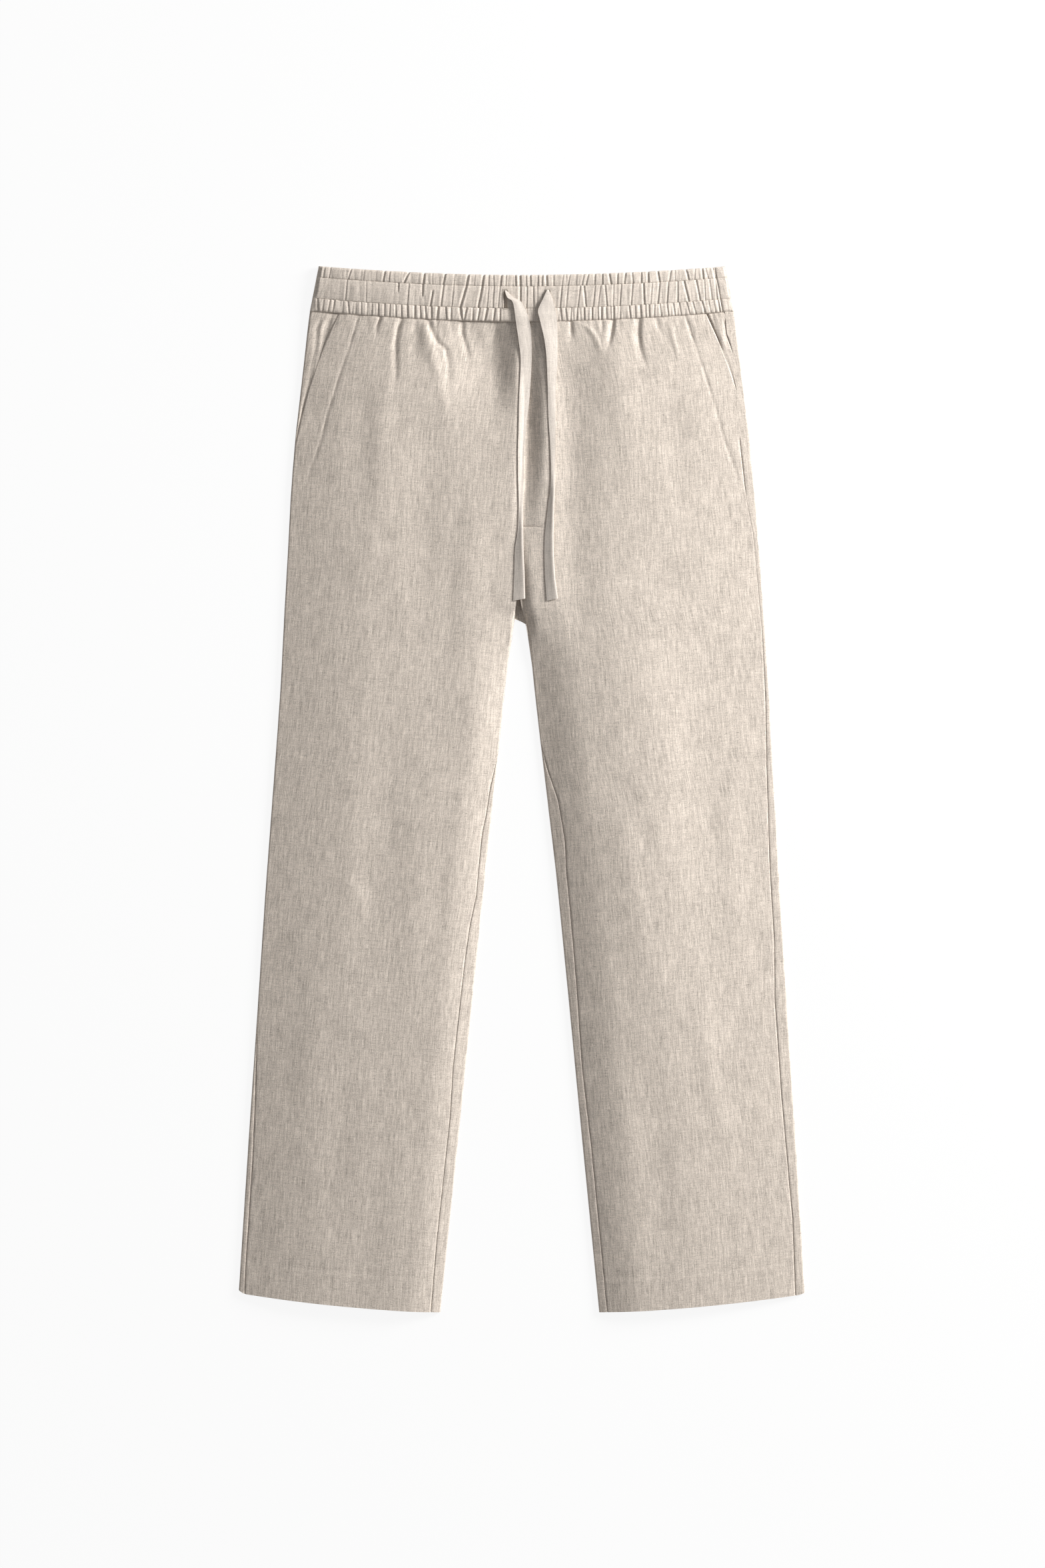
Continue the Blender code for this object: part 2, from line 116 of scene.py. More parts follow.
Sway = namedtuple("Sway", "y right_outer right_inner left_inner left_outer")
SWAYS = (  # how the laid legs lean off that outline, to the wearer's left
    Sway(0.511, 0.002, 0.000, 0.000, 0.000),
    Sway(0.450, 0.001, 0.000, 0.000, 0.000),
    Sway(0.310, 0.001, 0.002, 0.002, 0.001),
    Sway(0.240, 0.002, -0.001, -0.001, 0.002),
    Sway(0.100, 0.003, -0.002, -0.002, 0.003),
    Sway(-0.100, 0.001, -0.001, -0.001, 0.001),
    Sway(-0.511, 0.000, -0.002, -0.002, 0.000),
)

Seam = namedtuple("Seam", "y inset")
OUTSEAMS = {  # how far in from the folded edge each outseam lies on the front
    "right": (
        Seam(0.4660, 0.0005), Seam(-0.1900, 0.0005), Seam(-0.2400, 0.0015), Seam(-0.2700, 0.0025),
        Seam(-0.3000, 0.0040), Seam(-0.3600, 0.0055), Seam(-0.4650, 0.0055), Seam(-0.5110, 0.0065),
    ),
    "left": (
        Seam(0.4660, 0.0100), Seam(0.4440, 0.0105), Seam(0.4220, 0.0065), Seam(0.3800, 0.0085),
        Seam(0.3400, 0.0105), Seam(0.2850, 0.0095), Seam(0.2500, 0.0055), Seam(0.1550, 0.0035),
        Seam(0.0800, 0.0045), Seam(0.0250, 0.0065), Seam(-0.0750, 0.0090), Seam(-0.1500, 0.0090),
        Seam(-0.2050, 0.0120), Seam(-0.3000, 0.0115), Seam(-0.3900, 0.0090), Seam(-0.4200, 0.0080),
        Seam(-0.5110, 0.0100),
    ),
}
Shows = namedtuple("Shows", "y share")
OUTSEAM_SHOWS = {  # where each outseam shows as a line, and where the cloth closes over it
    "right": (Shows(0.4660, 1.0), Shows(-0.5110, 1.0)),
    "left": (
        Shows(0.4660, 0.0), Shows(0.4440, 0.0), Shows(0.4400, 0.8), Shows(0.4300, 0.8),
        Shows(0.4250, 0.0), Shows(0.3430, 0.0), Shows(0.3400, 1.0), Shows(0.2970, 1.0),
        Shows(0.2920, 0.2), Shows(0.1800, 0.3), Shows(0.0600, 0.8), Shows(-0.5110, 1.0),
    ),
}
INSEAMS = {
    "right": (
        Seam(0.4660, 0.0001), Seam(0.0400, 0.0002), Seam(0.0250, 0.0015), Seam(0.0020, 0.0045),
        Seam(-0.0240, 0.0055), Seam(-0.0430, 0.0075), Seam(-0.1050, 0.0070), Seam(-0.1310, 0.0100),
        Seam(-0.1660, 0.0115), Seam(-0.2700, 0.0125), Seam(-0.3220, 0.0105), Seam(-0.4400, 0.0110),
        Seam(-0.5110, 0.0095),
    ),
    "left": (
        Seam(0.4660, 0.0001), Seam(0.0470, 0.0002), Seam(0.0350, 0.0015), Seam(0.0190, 0.0040),
        Seam(-0.0100, 0.0105), Seam(-0.0360, 0.0120), Seam(-0.0520, 0.0125), Seam(-0.0790, 0.0105),
        Seam(-0.1500, 0.0100), Seam(-0.2000, 0.0090), Seam(-0.2700, 0.0070), Seam(-0.3500, 0.0085),
        Seam(-0.5110, 0.0080),
    ),
}

# ---------------------------------------------------------------- creases and gathers

Crease = namedtuple("Crease", "line depth right_width left_width fade crisp", defaults=(0,))
# Each line runs down the garment as (x, y) points. A trough has a negative depth. The widths
# are how far it reaches to the +X and the -X side. It starts partly risen, rises further over
# the first fade of its length and dies away over the rest. A crisp one comes to an edge and
# starts higher, the others are rounded.
CRISP_START = 0.7
SOFT_START = 0.25


CREASES = (
    # down the middle, between the strings: a hollow and the fly's ridge
    Crease(((0.006, 0.460), (0.006, 0.385), (0.003, 0.310), (0.000, 0.215)),
           -0.0060, 0.019, 0.013, 0.50, 0.4),
    Crease(((0.0190, 0.458), (0.0195, 0.385), (0.0185, 0.290)), 0.0013, 0.014, 0.010, 0.15),
    # hollows beside the right string
    Crease(((-0.0275, 0.462), (-0.0275, 0.445), (-0.0285, 0.420), (-0.0310, 0.350)),
           -0.0066, 0.028, 0.070, 0.30),
    Crease(((-0.0267, 0.457), (-0.0262, 0.447), (-0.0280, 0.438), (-0.0275, 0.418)),
           -0.0007, 0.010, 0.004, 0.25, 1),
    Crease(((-0.0280, 0.430), (-0.0300, 0.360), (-0.0380, 0.270)), -0.0016, 0.030, 0.050, 0.20),
    # short folds under the band on the wearer's right
    Crease(((-0.0578, 0.457), (-0.0586, 0.446), (-0.0566, 0.437), (-0.0527, 0.425), (-0.0514, 0.400)),
           -0.0016, 0.0050, 0.005, 0.15, 1),
    Crease(((-0.0923, 0.457), (-0.0880, 0.445), (-0.0830, 0.436), (-0.0748, 0.429), (-0.0720, 0.412),
            (-0.0725, 0.380)), -0.0017, 0.007, 0.005, 0.25, 1),
    Crease(((-0.0960, 0.457), (-0.0930, 0.445), (-0.0880, 0.425), (-0.0820, 0.405), (-0.0770, 0.378),
            (-0.0745, 0.345)), 0.0012, 0.008, 0.012, 0.20),
    Crease(((-0.1177, 0.459), (-0.1215, 0.450), (-0.1240, 0.435), (-0.1240, 0.415), (-0.1255, 0.370)),
           -0.0019, 0.006, 0.005, 0.12, 1),
    Crease(((-0.1391, 0.461), (-0.1424, 0.451), (-0.1438, 0.436)), -0.0015, 0.004, 0.0028, 0.15, 1),
    Crease(((-0.0400, 0.458), (-0.0370, 0.445), (-0.0350, 0.420)), 0.0006, 0.007, 0.008, 0.25),
    Crease(((-0.1040, 0.458), (-0.1050, 0.430), (-0.1040, 0.395)), -0.0007, 0.010, 0.008, 0.25),
    Crease(((-0.0830, 0.457), (-0.0837, 0.449), (-0.0835, 0.441)), -0.0011, 0.004, 0.0026, 0.20, 1),
    # short folds under the band on the wearer's left
    Crease(((0.0475, 0.456), (0.0481, 0.448), (0.0481, 0.435)), -0.0016, 0.005, 0.0030, 0.30, 1),
    Crease(((0.0553, 0.455), (0.0657, 0.450), (0.0715, 0.442), (0.0760, 0.430), (0.0810, 0.418)),
           0.0009, 0.004, 0.006, 0.25),
    Crease(((0.0780, 0.457), (0.0782, 0.449), (0.0778, 0.440)), -0.0011, 0.004, 0.003, 0.20, 1),
    Crease(((0.0897, 0.458), (0.0878, 0.446), (0.0832, 0.426)), -0.0020, 0.0036, 0.006, 0.50, 1),
    Crease(((0.1150, 0.459), (0.1138, 0.445), (0.1150, 0.432), (0.1183, 0.419), (0.1245, 0.403)),
           -0.0020, 0.0045, 0.008, 0.30, 1),
    Crease(((0.1313, 0.459), (0.1326, 0.451), (0.1362, 0.441)), -0.0008, 0.005, 0.0035, 0.25, 1),
    Crease(((0.1440, 0.458), (0.1515, 0.428), (0.1550, 0.410)), 0.0006, 0.003, 0.005, 0.40),
    Crease(((0.1620, 0.457), (0.1660, 0.443), (0.1690, 0.430)), -0.0006, 0.005, 0.004, 0.25, 1),
    Crease(((0.0780, 0.458), (0.0800, 0.440), (0.0790, 0.415)), 0.0005, 0.010, 0.008, 0.25),
    # hips and thighs
    Crease(((0.0440, 0.440), (0.0470, 0.263), (0.0600, 0.120), (0.0670, 0.030)),
           -0.0025, 0.036, 0.022, 0.20),
    Crease(((0.0880, 0.450), (0.0960, 0.370), (0.1100, 0.260)), 0.0013, 0.030, 0.026, 0.25),
    Crease(((0.1450, 0.400), (0.1520, 0.330), (0.1560, 0.240)), -0.0008, 0.020, 0.022, 0.30),
    Crease(((-0.1560, 0.400), (-0.1600, 0.320), (-0.1580, 0.240)), -0.0006, 0.022, 0.024, 0.40),
    Crease(((-0.1360, 0.400), (-0.1390, 0.320), (-0.1380, 0.230)), 0.0005, 0.020, 0.020, 0.40),
    Crease(((-0.0900, 0.370), (-0.0980, 0.250), (-0.1020, 0.120)), -0.0010, 0.028, 0.026, 0.35),
    Crease(((-0.0460, 0.300), (-0.0520, 0.180), (-0.0600, 0.050)), 0.0010, 0.026, 0.024, 0.40),
    # legs
    Crease(((0.0650, 0.230), (0.1020, 0.142), (0.1180, 0.061), (0.1290, -0.027), (0.1350, -0.092),
            (0.1420, -0.199), (0.1470, -0.320), (0.1550, -0.520)), 0.0034, 0.085, 0.080, 0.25),
    Crease(((0.0480, 0.180), (0.0580, 0.142), (0.0660, 0.061), (0.0780, -0.027), (0.0920, -0.120),
            (0.1020, -0.199), (0.1090, -0.320), (0.1150, -0.520)), 0.0017, 0.090, 0.052, 0.25),
    Crease(((0.0950, -0.010), (0.1120, -0.125), (0.1345, -0.200), (0.1450, -0.250)),
           0.0010, 0.020, 0.034, 0.30),
    Crease(((0.1720, -0.180), (0.1850, -0.290), (0.2180, -0.400)), 0.0007, 0.014, 0.018, 0.45),
    Crease(((0.1600, 0.120), (0.1700, -0.020), (0.1850, -0.160)), -0.0009, 0.034, 0.030, 0.40),
    Crease(((0.2000, 0.050), (0.2080, -0.100), (0.2200, -0.260)), 0.0006, 0.020, 0.022, 0.45),
    Crease(((0.1250, -0.270), (0.1350, -0.380), (0.1420, -0.500)), -0.0008, 0.026, 0.026, 0.45),
    Crease(((-0.1250, 0.060), (-0.1420, -0.080), (-0.1600, -0.220)), -0.0009, 0.030, 0.032, 0.45),
    Crease(((-0.0900, 0.020), (-0.1050, -0.140), (-0.1200, -0.300)), 0.0008, 0.026, 0.026, 0.45),
    Crease(((-0.1740, -0.080), (-0.1600, -0.108), (-0.1450, -0.140)), 0.0006, 0.016, 0.016, 0.45),
    Crease(((-0.2040, -0.180), (-0.2110, -0.310), (-0.2160, -0.420)), 0.0004, 0.022, 0.020, 0.45),
    Crease(((-0.1700, -0.250), (-0.1800, -0.360), (-0.1850, -0.480)), -0.0008, 0.024, 0.024, 0.45),
    Crease(((-0.1150, -0.330), (-0.1250, -0.420), (-0.1300, -0.500)), 0.0007, 0.026, 0.022, 0.45),
)

BACK_CREASES = (  # on the underside, seen only when the garment is turned over
    Crease(((0.020, 0.452), (0.030, 0.330), (0.028, 0.220)), 0.0006, 0.014, 0.016, 0.15),
    Crease(((-0.035, 0.452), (-0.052, 0.350), (-0.060, 0.230)), 0.0006, 0.016, 0.014, 0.15),
    Crease(((0.085, 0.452), (0.098, 0.330), (0.112, 0.160)), 0.0007, 0.020, 0.018, 0.20),
    Crease(((-0.110, 0.452), (-0.118, 0.360), (-0.132, 0.240)), 0.0006, 0.018, 0.020, 0.20),
    Crease(((0.150, 0.440), (0.160, 0.330), (0.166, 0.210)), 0.0005, 0.016, 0.016, 0.25),
    Crease(((-0.165, 0.440), (-0.172, 0.300), (-0.176, 0.140)), 0.0005, 0.016, 0.016, 0.25),
    Crease(((0.100, 0.090), (0.128, -0.070), (0.150, -0.230)), 0.0006, 0.024, 0.026, 0.40),
    Crease(((-0.092, 0.060), (-0.120, -0.100), (-0.142, -0.260)), 0.0006, 0.026, 0.024, 0.40),
    Crease(((0.170, -0.180), (0.190, -0.310), (0.202, -0.450)), 0.0005, 0.022, 0.020, 0.40),
    Crease(((-0.180, -0.160), (-0.194, -0.300), (-0.208, -0.440)), 0.0005, 0.020, 0.022, 0.40),
)

FORK_SLOPE = (  # the wearer's left leg turns down into the fork
    Crease(((-0.0020, 0.220), (0.0010, 0.187), (0.0055, 0.163), (0.0100, 0.128)),
           -0.0048, 0.013, 0.022, 0.50, 1),
)

Gather = namedtuple("Gather", "top low depth start end", defaults=(0.0, 1.0))
# Where a fold of the gathered casing crosses its channel's upper and lower edge and how deep
# it is, in millimetres; start and end are shares of the channel's height.
TOP_GATHERS = (
    (-194, -195.5, 0.5), (-188.5, -190, 0.4), (-168, -171, 0.5), (-155, -156, 0.3),
    (-135, -136.5, 0.9), (-130, -131, 0.4), (-111, -116, 1.0), (-96, -97, 1.2), (-88, -88, 0.3),
    (-75.5, -77.5, 1.0), (-66, -67, 0.4), (-52.5, -54.5, 1.2), (-46, -47, 0.3), (-37.5, -39, 1.1),
    (-32.5, -33, 0.5), (-28, -27.5, 0.5), (-20, -21, 0.8), (-15.5, -16, 0.5), (-6.5, -6, 0.6),
    (-2, -1.5, 1.1), (4, 4, 0.5), (8, 8.5, 0.8), (15.5, 15.5, 0.5), (20, 19.5, 0.6), (24, 24.5, 0.9),
    (31, 31, 0.3), (40.5, 39, 0.4), (47, 45, 0.4), (53.5, 53, 0.3), (60.5, 58.5, 0.5),
    (65, 62.5, 0.6), (71.5, 71, 0.5), (78.5, 78.5, 0.8), (85, 87, 0.8), (93.5, 93, 0.6),
    (101, 100, 0.8), (107.5, 108.5, 0.7), (116.5, 116.5, 0.6), (123, 123.5, 0.8),
    (132.5, 134.5, 0.7), (145.5, 143.5, 0.6), (149.5, 149.5, 0.4), (160, 163, 0.8),
    (169, 168.5, 0.4), (176, 177, 0.8), (179, 182, 0.4), (186.5, 189, 0.8),
)
MIDDLE_GATHERS = (
    (-172, -173.5, 0.5), (-153, -153, 0.3), (-121.5, -122, 0.8, 0, 0.4), (-111, -112.5, 0.5),
    (-97.5, -98, 1.1, 0, 0.55), (-86.5, -90, 1.0, 0.3, 1), (-77, -79.5, 0.8), (-67, -69, 0.4),
    (-54.5, -60.5, 1.3), (-39, -43, 1.2), (-32.5, -34.5, 0.4), (-27.5, -28.5, 0.5),
    (-21.5, -23.5, 0.4), (-1.5, -1.5, 1.0, 0, 0.8), (5, 4.5, 0.6), (11, 11.5, 0.5), (15, 15.5, 0.4),
    (39, 37, 0.6), (45, 43, 0.4), (57, 54.5, 0.5), (60.5, 62.5, 0.8), (71.5, 69.5, 0.5),
    (77, 74, 0.4), (81, 83, 0.7), (89.5, 89, 0.4), (97, 95.5, 0.6), (108, 106.5, 0.6),
    (118.5, 119.5, 0.9), (127, 125.5, 0.4), (134.5, 132.5, 0.7), (143, 141.5, 0.6),
    (152, 152, 0.6), (158, 163, 0.9), (170, 174, 0.7), (178, 179, 0.4), (183, 185.5, 0.5),
    (189, 190.5, 0.7),
)
LOW_GATHERS = (
    (-201, -200, 0.8), (-194.5, -196, 0.5), (-188.5, -190.5, 0.6), (-184, -186, 0.6),
    (-175.5, -176, 0.4), (-171, -169.5, 0.5), (-163, -163.5, 0.4), (-158, -157.5, 0.5),
    (-152, -152, 0.5), (-147, -147.5, 0.5), (-141, -141, 0.8), (-135, -135, 0.6),
    (-129.5, -130, 0.7), (-124, -123.5, 0.8), (-118.5, -118, 0.8), (-112.5, -112, 1.0),
    (-105, -105, 0.8), (-100, -99.5, 0.9), (-95, -94, 0.9), (-89, -89, 0.8), (-82, -83, 1.2),
    (-75, -74, 0.8), (-69.5, -69.5, 0.7), (-60.5, -58.5, 1.2), (-54, -57, 1.0), (-48, -48.5, 0.7),
    (-41.5, -43.5, 0.9), (-34, -36.5, 1.2), (-26.5, -28, 0.9), (-21.5, -21.5, 0.6), (5, 5, 0.4),
    (11, 11.5, 0.5), (37.5, 39, 0.7), (42.5, 44, 0.6), (48, 47.5, 0.6), (54, 53.5, 0.8),
    (60.5, 61, 0.9), (68.5, 68.5, 0.9), (74, 74.5, 0.5), (77.5, 77.5, 0.7), (82, 82.5, 0.7),
    (86.5, 87, 0.5), (89.5, 89.5, 0.9), (96, 96, 0.5), (104.5, 106, 0.7), (110.5, 111, 0.6),
    (115.5, 116.5, 0.7), (120.5, 121, 0.5), (124, 124.5, 0.7), (129.5, 129, 0.6),
    (134.5, 136, 0.6), (141.5, 143, 0.6), (147.5, 149.5, 0.6), (153.5, 155.5, 0.5),
    (160.5, 164, 0.6), (166.5, 170, 0.6), (175.5, 179, 0.8), (182, 184.5, 0.5), (187, 189, 0.4),
    (191, 193.5, 0.7),
)
BACK_GATHERS = (
    (-154, -150, 0.8), (-108, -104, 0.8), (-62, -66, 0.9), (-18, -15, 0.7), (34, 37, 0.8),
    (79, 75, 0.9), (121, 126, 0.7), (164, 162, 0.8),
)

Channel = namedtuple("Channel", "start end puff spacing depth seed front back")
CHANNELS = (  # the casing's three channels, between its top edge, two stitched rows and its seam
    Channel(0.00, 0.25, 0.0010, 0.0072, 0.00045, 4, TOP_GATHERS, ()),
    Channel(0.25, 0.715, 0.0011, 0.0080, 0.00030, 9, MIDDLE_GATHERS, BACK_GATHERS),
    Channel(0.715, 1.00, 0.0010, 0.0060, 0.00050, 2, LOW_GATHERS, ()),
)
STITCHED_ROWS = (0.25, 0.715)

# ---------------------------------------------------------------- the drawstring's tapes

Station = namedtuple("Station", "y a b c d a_lift b_lift c_lift d_lift")
# Four points across each tape in millimetres from x = 0, with their heights above the cloth
TAPES = {
    "right": (
        Station(488, -16.8, -16.4, -15.6, -15.0, -2.6, -2.6, -2.6, -2.6),
        Station(485, -16.3, -15.8, -15.0, -14.0, 0.5, 0.4, 0.2, 0.0),
        Station(479, -14.0, -12.4, -10.2, -7.5, 1.3, 1.1, 0.7, 0.1),
        Station(474, -8.6, -6.0, -2.6, 0.5, 1.8, 1.6, 0.9, 0.1),
        Station(456, -5.8, -1.8, 3.2, 7.6, 2.2, 2.0, 1.2, 0.2),
        Station(437, -3.0, 1.0, 6.0, 9.5, 2.5, 2.2, 1.2, 0.2),
        Station(417, -1.1, 2.2, 6.5, 9.6, 2.1, 1.8, 1.0, 0.2),
        Station(382, -2.6, 0.5, 4.5, 7.5, 1.3, 1.2, 0.7, 0.1),
        Station(355, -3.1, -1.0, 2.0, 4.4, 1.0, 0.9, 0.5, 0.1),
        Station(332, -3.8, -2.2, 0.2, 2.4, 0.9, 0.8, 0.4, 0.1),
        Station(305, -3.7, -2.6, -0.6, 1.7, 0.9, 0.7, 0.4, 0.1),
        Station(276, -3.0, -1.9, -0.2, 1.1, 1.0, 0.9, 0.8, 0.4),
        Station(252, -4.0, -2.0, -0.2, 1.3, 0.4, 1.0, 1.5, 1.1),
        Station(234, -6.5, -3.4, 0.0, 1.6, 0.1, 0.8, 1.8, 1.3),
        Station(210, -7.3, -3.4, 1.1, 2.6, 0.0, 0.8, 1.7, 1.2),
        Station(186, -8.3, -4.0, 1.6, 3.2, 0.0, 0.6, 1.4, 0.9),
    ),
    "left": (
        Station(488, 24.5, 25.0, 25.8, 26.3, -2.6, -2.6, -2.6, -2.6),
        Station(486, 24.2, 24.8, 25.8, 26.6, 0.5, 0.5, 0.3, 0.0),
        Station(478, 20.7, 23.5, 27.0, 29.8, 1.4, 1.3, 0.8, 0.1),
        Station(467, 16.0, 21.0, 27.5, 33.0, 2.2, 2.0, 1.1, 0.1),
        Station(457, 17.7, 22.5, 29.0, 34.5, 2.8, 2.4, 1.2, 0.1),
        Station(437, 22.2, 26.0, 31.0, 34.8, 3.0, 2.5, 1.2, 0.1),
        Station(417, 24.3, 27.5, 31.5, 34.8, 2.3, 1.9, 0.9, 0.1),
        Station(390, 25.3, 28.0, 31.0, 33.2, 1.3, 1.2, 0.7, 0.1),
        Station(364, 26.0, 28.4, 31.0, 32.9, 0.7, 0.7, 0.5, 0.1),
        Station(337, 27.6, 29.4, 31.3, 32.9, 0.5, 0.5, 0.3, 0.1),
        Station(309, 28.6, 29.8, 31.0, 32.4, 0.5, 0.6, 0.5, 0.2),
        Station(290, 27.6, 29.2, 31.0, 32.0, 0.4, 1.0, 1.4, 0.9),
        Station(276, 25.6, 28.0, 30.2, 31.6, 0.2, 1.1, 1.9, 1.4),
        Station(243, 22.4, 25.8, 29.4, 30.9, 0.1, 1.0, 2.0, 1.5),
        Station(210, 22.6, 26.4, 30.6, 32.1, 0.0, 0.9, 1.9, 1.4),
        Station(186, 24.4, 28.2, 33.6, 35.2, 0.0, 0.7, 1.5, 1.0),
    ),
}
TAPE_CLEAR = 0.0001  # between a tape and the cloth under it
CUT_SLANT = 0.20  # how far a tape's cut end runs aslant



# ---------------------------------------------------------------- reading the tables


def ease(t):
    """0 to 1 with level ends."""
    t = np.clip(t, 0.0, 1.0)
    return t * t * (3.0 - 2.0 * t)


def ramp(t):
    """0 to 1, straight at first and rounded over at its end."""
    t = np.clip(t, 0.0, 1.0)
    return 0.6 * np.sin(0.5 * np.pi * t) + 0.4 * t


def read(rows, y, column):
    """A column of a table at height y, its rows running down the garment."""
    heights = [row.y for row in reversed(rows)]
    return np.interp(y, heights, [getattr(row, column) for row in reversed(rows)])


def smooth_read(rows, position, column):
    """A column along a smooth curve through all its rows; position counts the rows."""
    values = np.array([getattr(row, column) for row in rows])
    index = np.minimum(np.asarray(position).astype(int), len(rows) - 2)
    t = position - index
    a, b, c, d = (values[np.clip(index + k, 0, len(rows) - 1)] for k in (-1, 0, 1, 2))
    curve = (-a + 3 * b - 3 * c + d) * t**3 + (2 * a - 5 * b + 4 * c - d) * t**2 + (c - a) * t
    return b + 0.5 * curve


def line_x(points, y):
    """Where a line of (x, y) points that runs down the garment stands at height y."""
    across, heights = zip(*reversed(points))
    return np.interp(y, heights, across)


def spaced(start, end, step):
    """Places from start to end, about a step apart."""
    return np.linspace(start, end, max(2, round(abs(end - start) / step) + 1))


# ---------------------------------------------------------------- the garment's lines


def outer_edge(y):
    return read(SECTIONS, y, "outer")


def inner_edge(y):
    return read(SECTIONS, y, "inner")


def waist_line(x):
    """The waist's top edge."""
    half = SECTIONS[0].outer
    return LENGTH / 2 - WAIST_DIP * np.maximum(0.0, 1 - (x / half) ** 2)


def band_seam(x):
    """The seam that joins the band to the legs."""
    half = SECTIONS[1].outer
    return waist_line(x) - BAND_HEIGHT - BAND_GROWS * np.maximum(0.0, 1 - (x / half) ** 2)


def band_share(x, y):
    """How far down the band a place is: 0 on the waist's top edge, 1 on the band's seam."""
    return (waist_line(x) - y) / (waist_line(x) - band_seam(x))


def hem_line(x, name):
    """The hem of a leg, climbing outwards."""
    low, high = SECTIONS[-1].inner, SECTIONS[-1].outer
    share = (np.abs(x) - low) / (high - low)
    belly = 4 * np.maximum(0.0, share * (1 - share))
    corner = HEM_CORNER[name] * np.maximum(0.0, 1 - (high - np.abs(x)) / 0.009) ** 2
    return -LENGTH / 2 + HEM_RISE[name] * share - HEM_BELLY * belly + corner


def row_height(x, share, name):
    return band_seam(x) * (1 - share) + hem_line(x, name) * share


def outseam_line(y, name):
    return outer_edge(y) - read(OUTSEAMS[name], y, "inset")


def mouth_line(y):
    """The slant pocket's mouth, from the waist seam out to the outseam."""
    bottom_x, bottom_y = MOUTH_BOTTOM
    top_y = band_seam(MOUTH_TOP_X)
    share = (top_y - y) / (top_y - bottom_y)
    straight = MOUTH_TOP_X + (bottom_x - MOUTH_TOP_X) * share
    return straight + MOUTH_BOW * np.sin(np.pi * np.clip(share, 0.0, 1.4))


def front_outer_line(y, name):
    """The front's outer edge: the pocket's mouth, then the outseam."""
    seam = outseam_line(y, name)
    return np.where(y > MOUTH_BOTTOM[1] - 0.02, np.minimum(mouth_line(y), seam), seam)


def front_inner_line(y, name):
    """The front's inner edge: the middle seam, the fork, then the inseam."""
    inseam = inner_edge(np.minimum(y, CROTCH_Y)) + read(INSEAMS[name], y, "inset")
    top = FORK_TOP_Y[name]
    opening = np.clip((top - y) / (top - CROTCH_Y), 0.0, 1.0) ** FORK_CURVE[name]
    return SEAM_GAP / 4 + (inseam - SEAM_GAP / 4) * opening


def sway(x, y):
    """How far the laid cloth sits off the plain outline at (x, y), to the wearer's left."""
    inner, outer = inner_edge(y), outer_edge(y)
    share = np.clip((np.abs(x) - inner) / (outer - inner), 0.0, 1.0)
    sides = []
    for name in ("right", "left"):
        near, far = read(SWAYS, y, name + "_inner"), read(SWAYS, y, name + "_outer")
        sides.append(near * (1 - share) + far * share)
    return np.where(x < 0, *sides)


def laid(places):
    """Places moved from the plain outline to where the garment's cloth lies."""
    x, y = places[..., 0], places[..., 1]
    near_fork = np.exp(-(((y - BACK_FORK_Y) / 0.012) ** 2)) * (1 - ease((np.abs(x) - 0.010) / 0.03))
    tilt = FORK_TILT * np.clip(x, -0.009, 0.009) * near_fork
    return np.stack([x + sway(x, y), y - tilt, places[..., 2]], axis=-1)


# ---------------------------------------------------------------- heights of the cloth


def crease_height(x, y, creases):
    """The creases' ridges and troughs, each fading along its line."""
    total = np.zeros(np.broadcast(x, y).shape)
    for crease in creases:
        points = crease.line
        top, low = points[0][1], points[-1][1]
        along = (top - y) / (top - low)
        opening = CRISP_START if crease.crisp == 1 else SOFT_START
        fade = ease(along / crease.fade + opening)
        fade *= 1 - ease((along - crease.fade) / (1 - crease.fade))
        away = x - line_x(points, y)
        reach = np.where(away > 0, crease.right_width, crease.left_width)
        across = np.clip(np.abs(away) / reach, 0, 1)
        rounded = np.cos(0.5 * np.pi * across) ** 2
        edged = (1 - across) ** 2 * (1 + 0.4 * across)
        total += crease.depth * fade * (rounded + crease.crisp * (edged - rounded))
    return total


def uneven_places(start, end, spacing, seed):
    """Places between start and end, unevenly spaced, each with a strength."""
    draw = np.random.default_rng(seed)
    count = int((end - start) / spacing * 1.6)
    steps = spacing * draw.uniform(0.55, 1.5, count)
    places = start + np.cumsum(steps)
    places = places[places < end]
    return places, draw.uniform(0.25, 1.0, len(places)), draw.uniform(-1, 1, len(places))


def pucker_height(x, below, seed, spacing=0.0085, depth=0.0008, length=0.020):
    """Small puckers that start at a gathered seam and die away below it."""
    total = np.zeros(np.broadcast(x, below).shape)
    places, strengths, leans = uneven_places(-0.21, 0.21, spacing, seed)
    for place, strength, lean in zip(places, strengths, leans):
        reach = length * (0.4 + 1.1 * strength)
        fade = (1 - ease(below / reach)) * strength
        width = spacing * (0.20 + 0.28 * strength)
        away = np.abs(x - place - lean * 0.25 * below) / width
        total -= depth * fade * np.exp(-away)
    return total


def fold_roll(distance, radius):
    """How far cloth has dropped round a folded edge, by its distance in from that edge."""
    off = 1 - np.clip(distance / radius, 0.0, 1.0)
    return radius * (1 - np.sqrt(1 - off**2))


def outer_radius(y):
    """The outer fold's radius, rounder under the band."""
    return FOLD_RADIUS + WAIST_SWELL * ease((y - 0.390) / 0.070)


def inner_radius(y):
    """The inner fold's radius, rounder at the fork."""
    return FOLD_RADIUS + FORK_SWELL * (1 - ease((BACK_FORK_Y - y) / FORK_REACH))


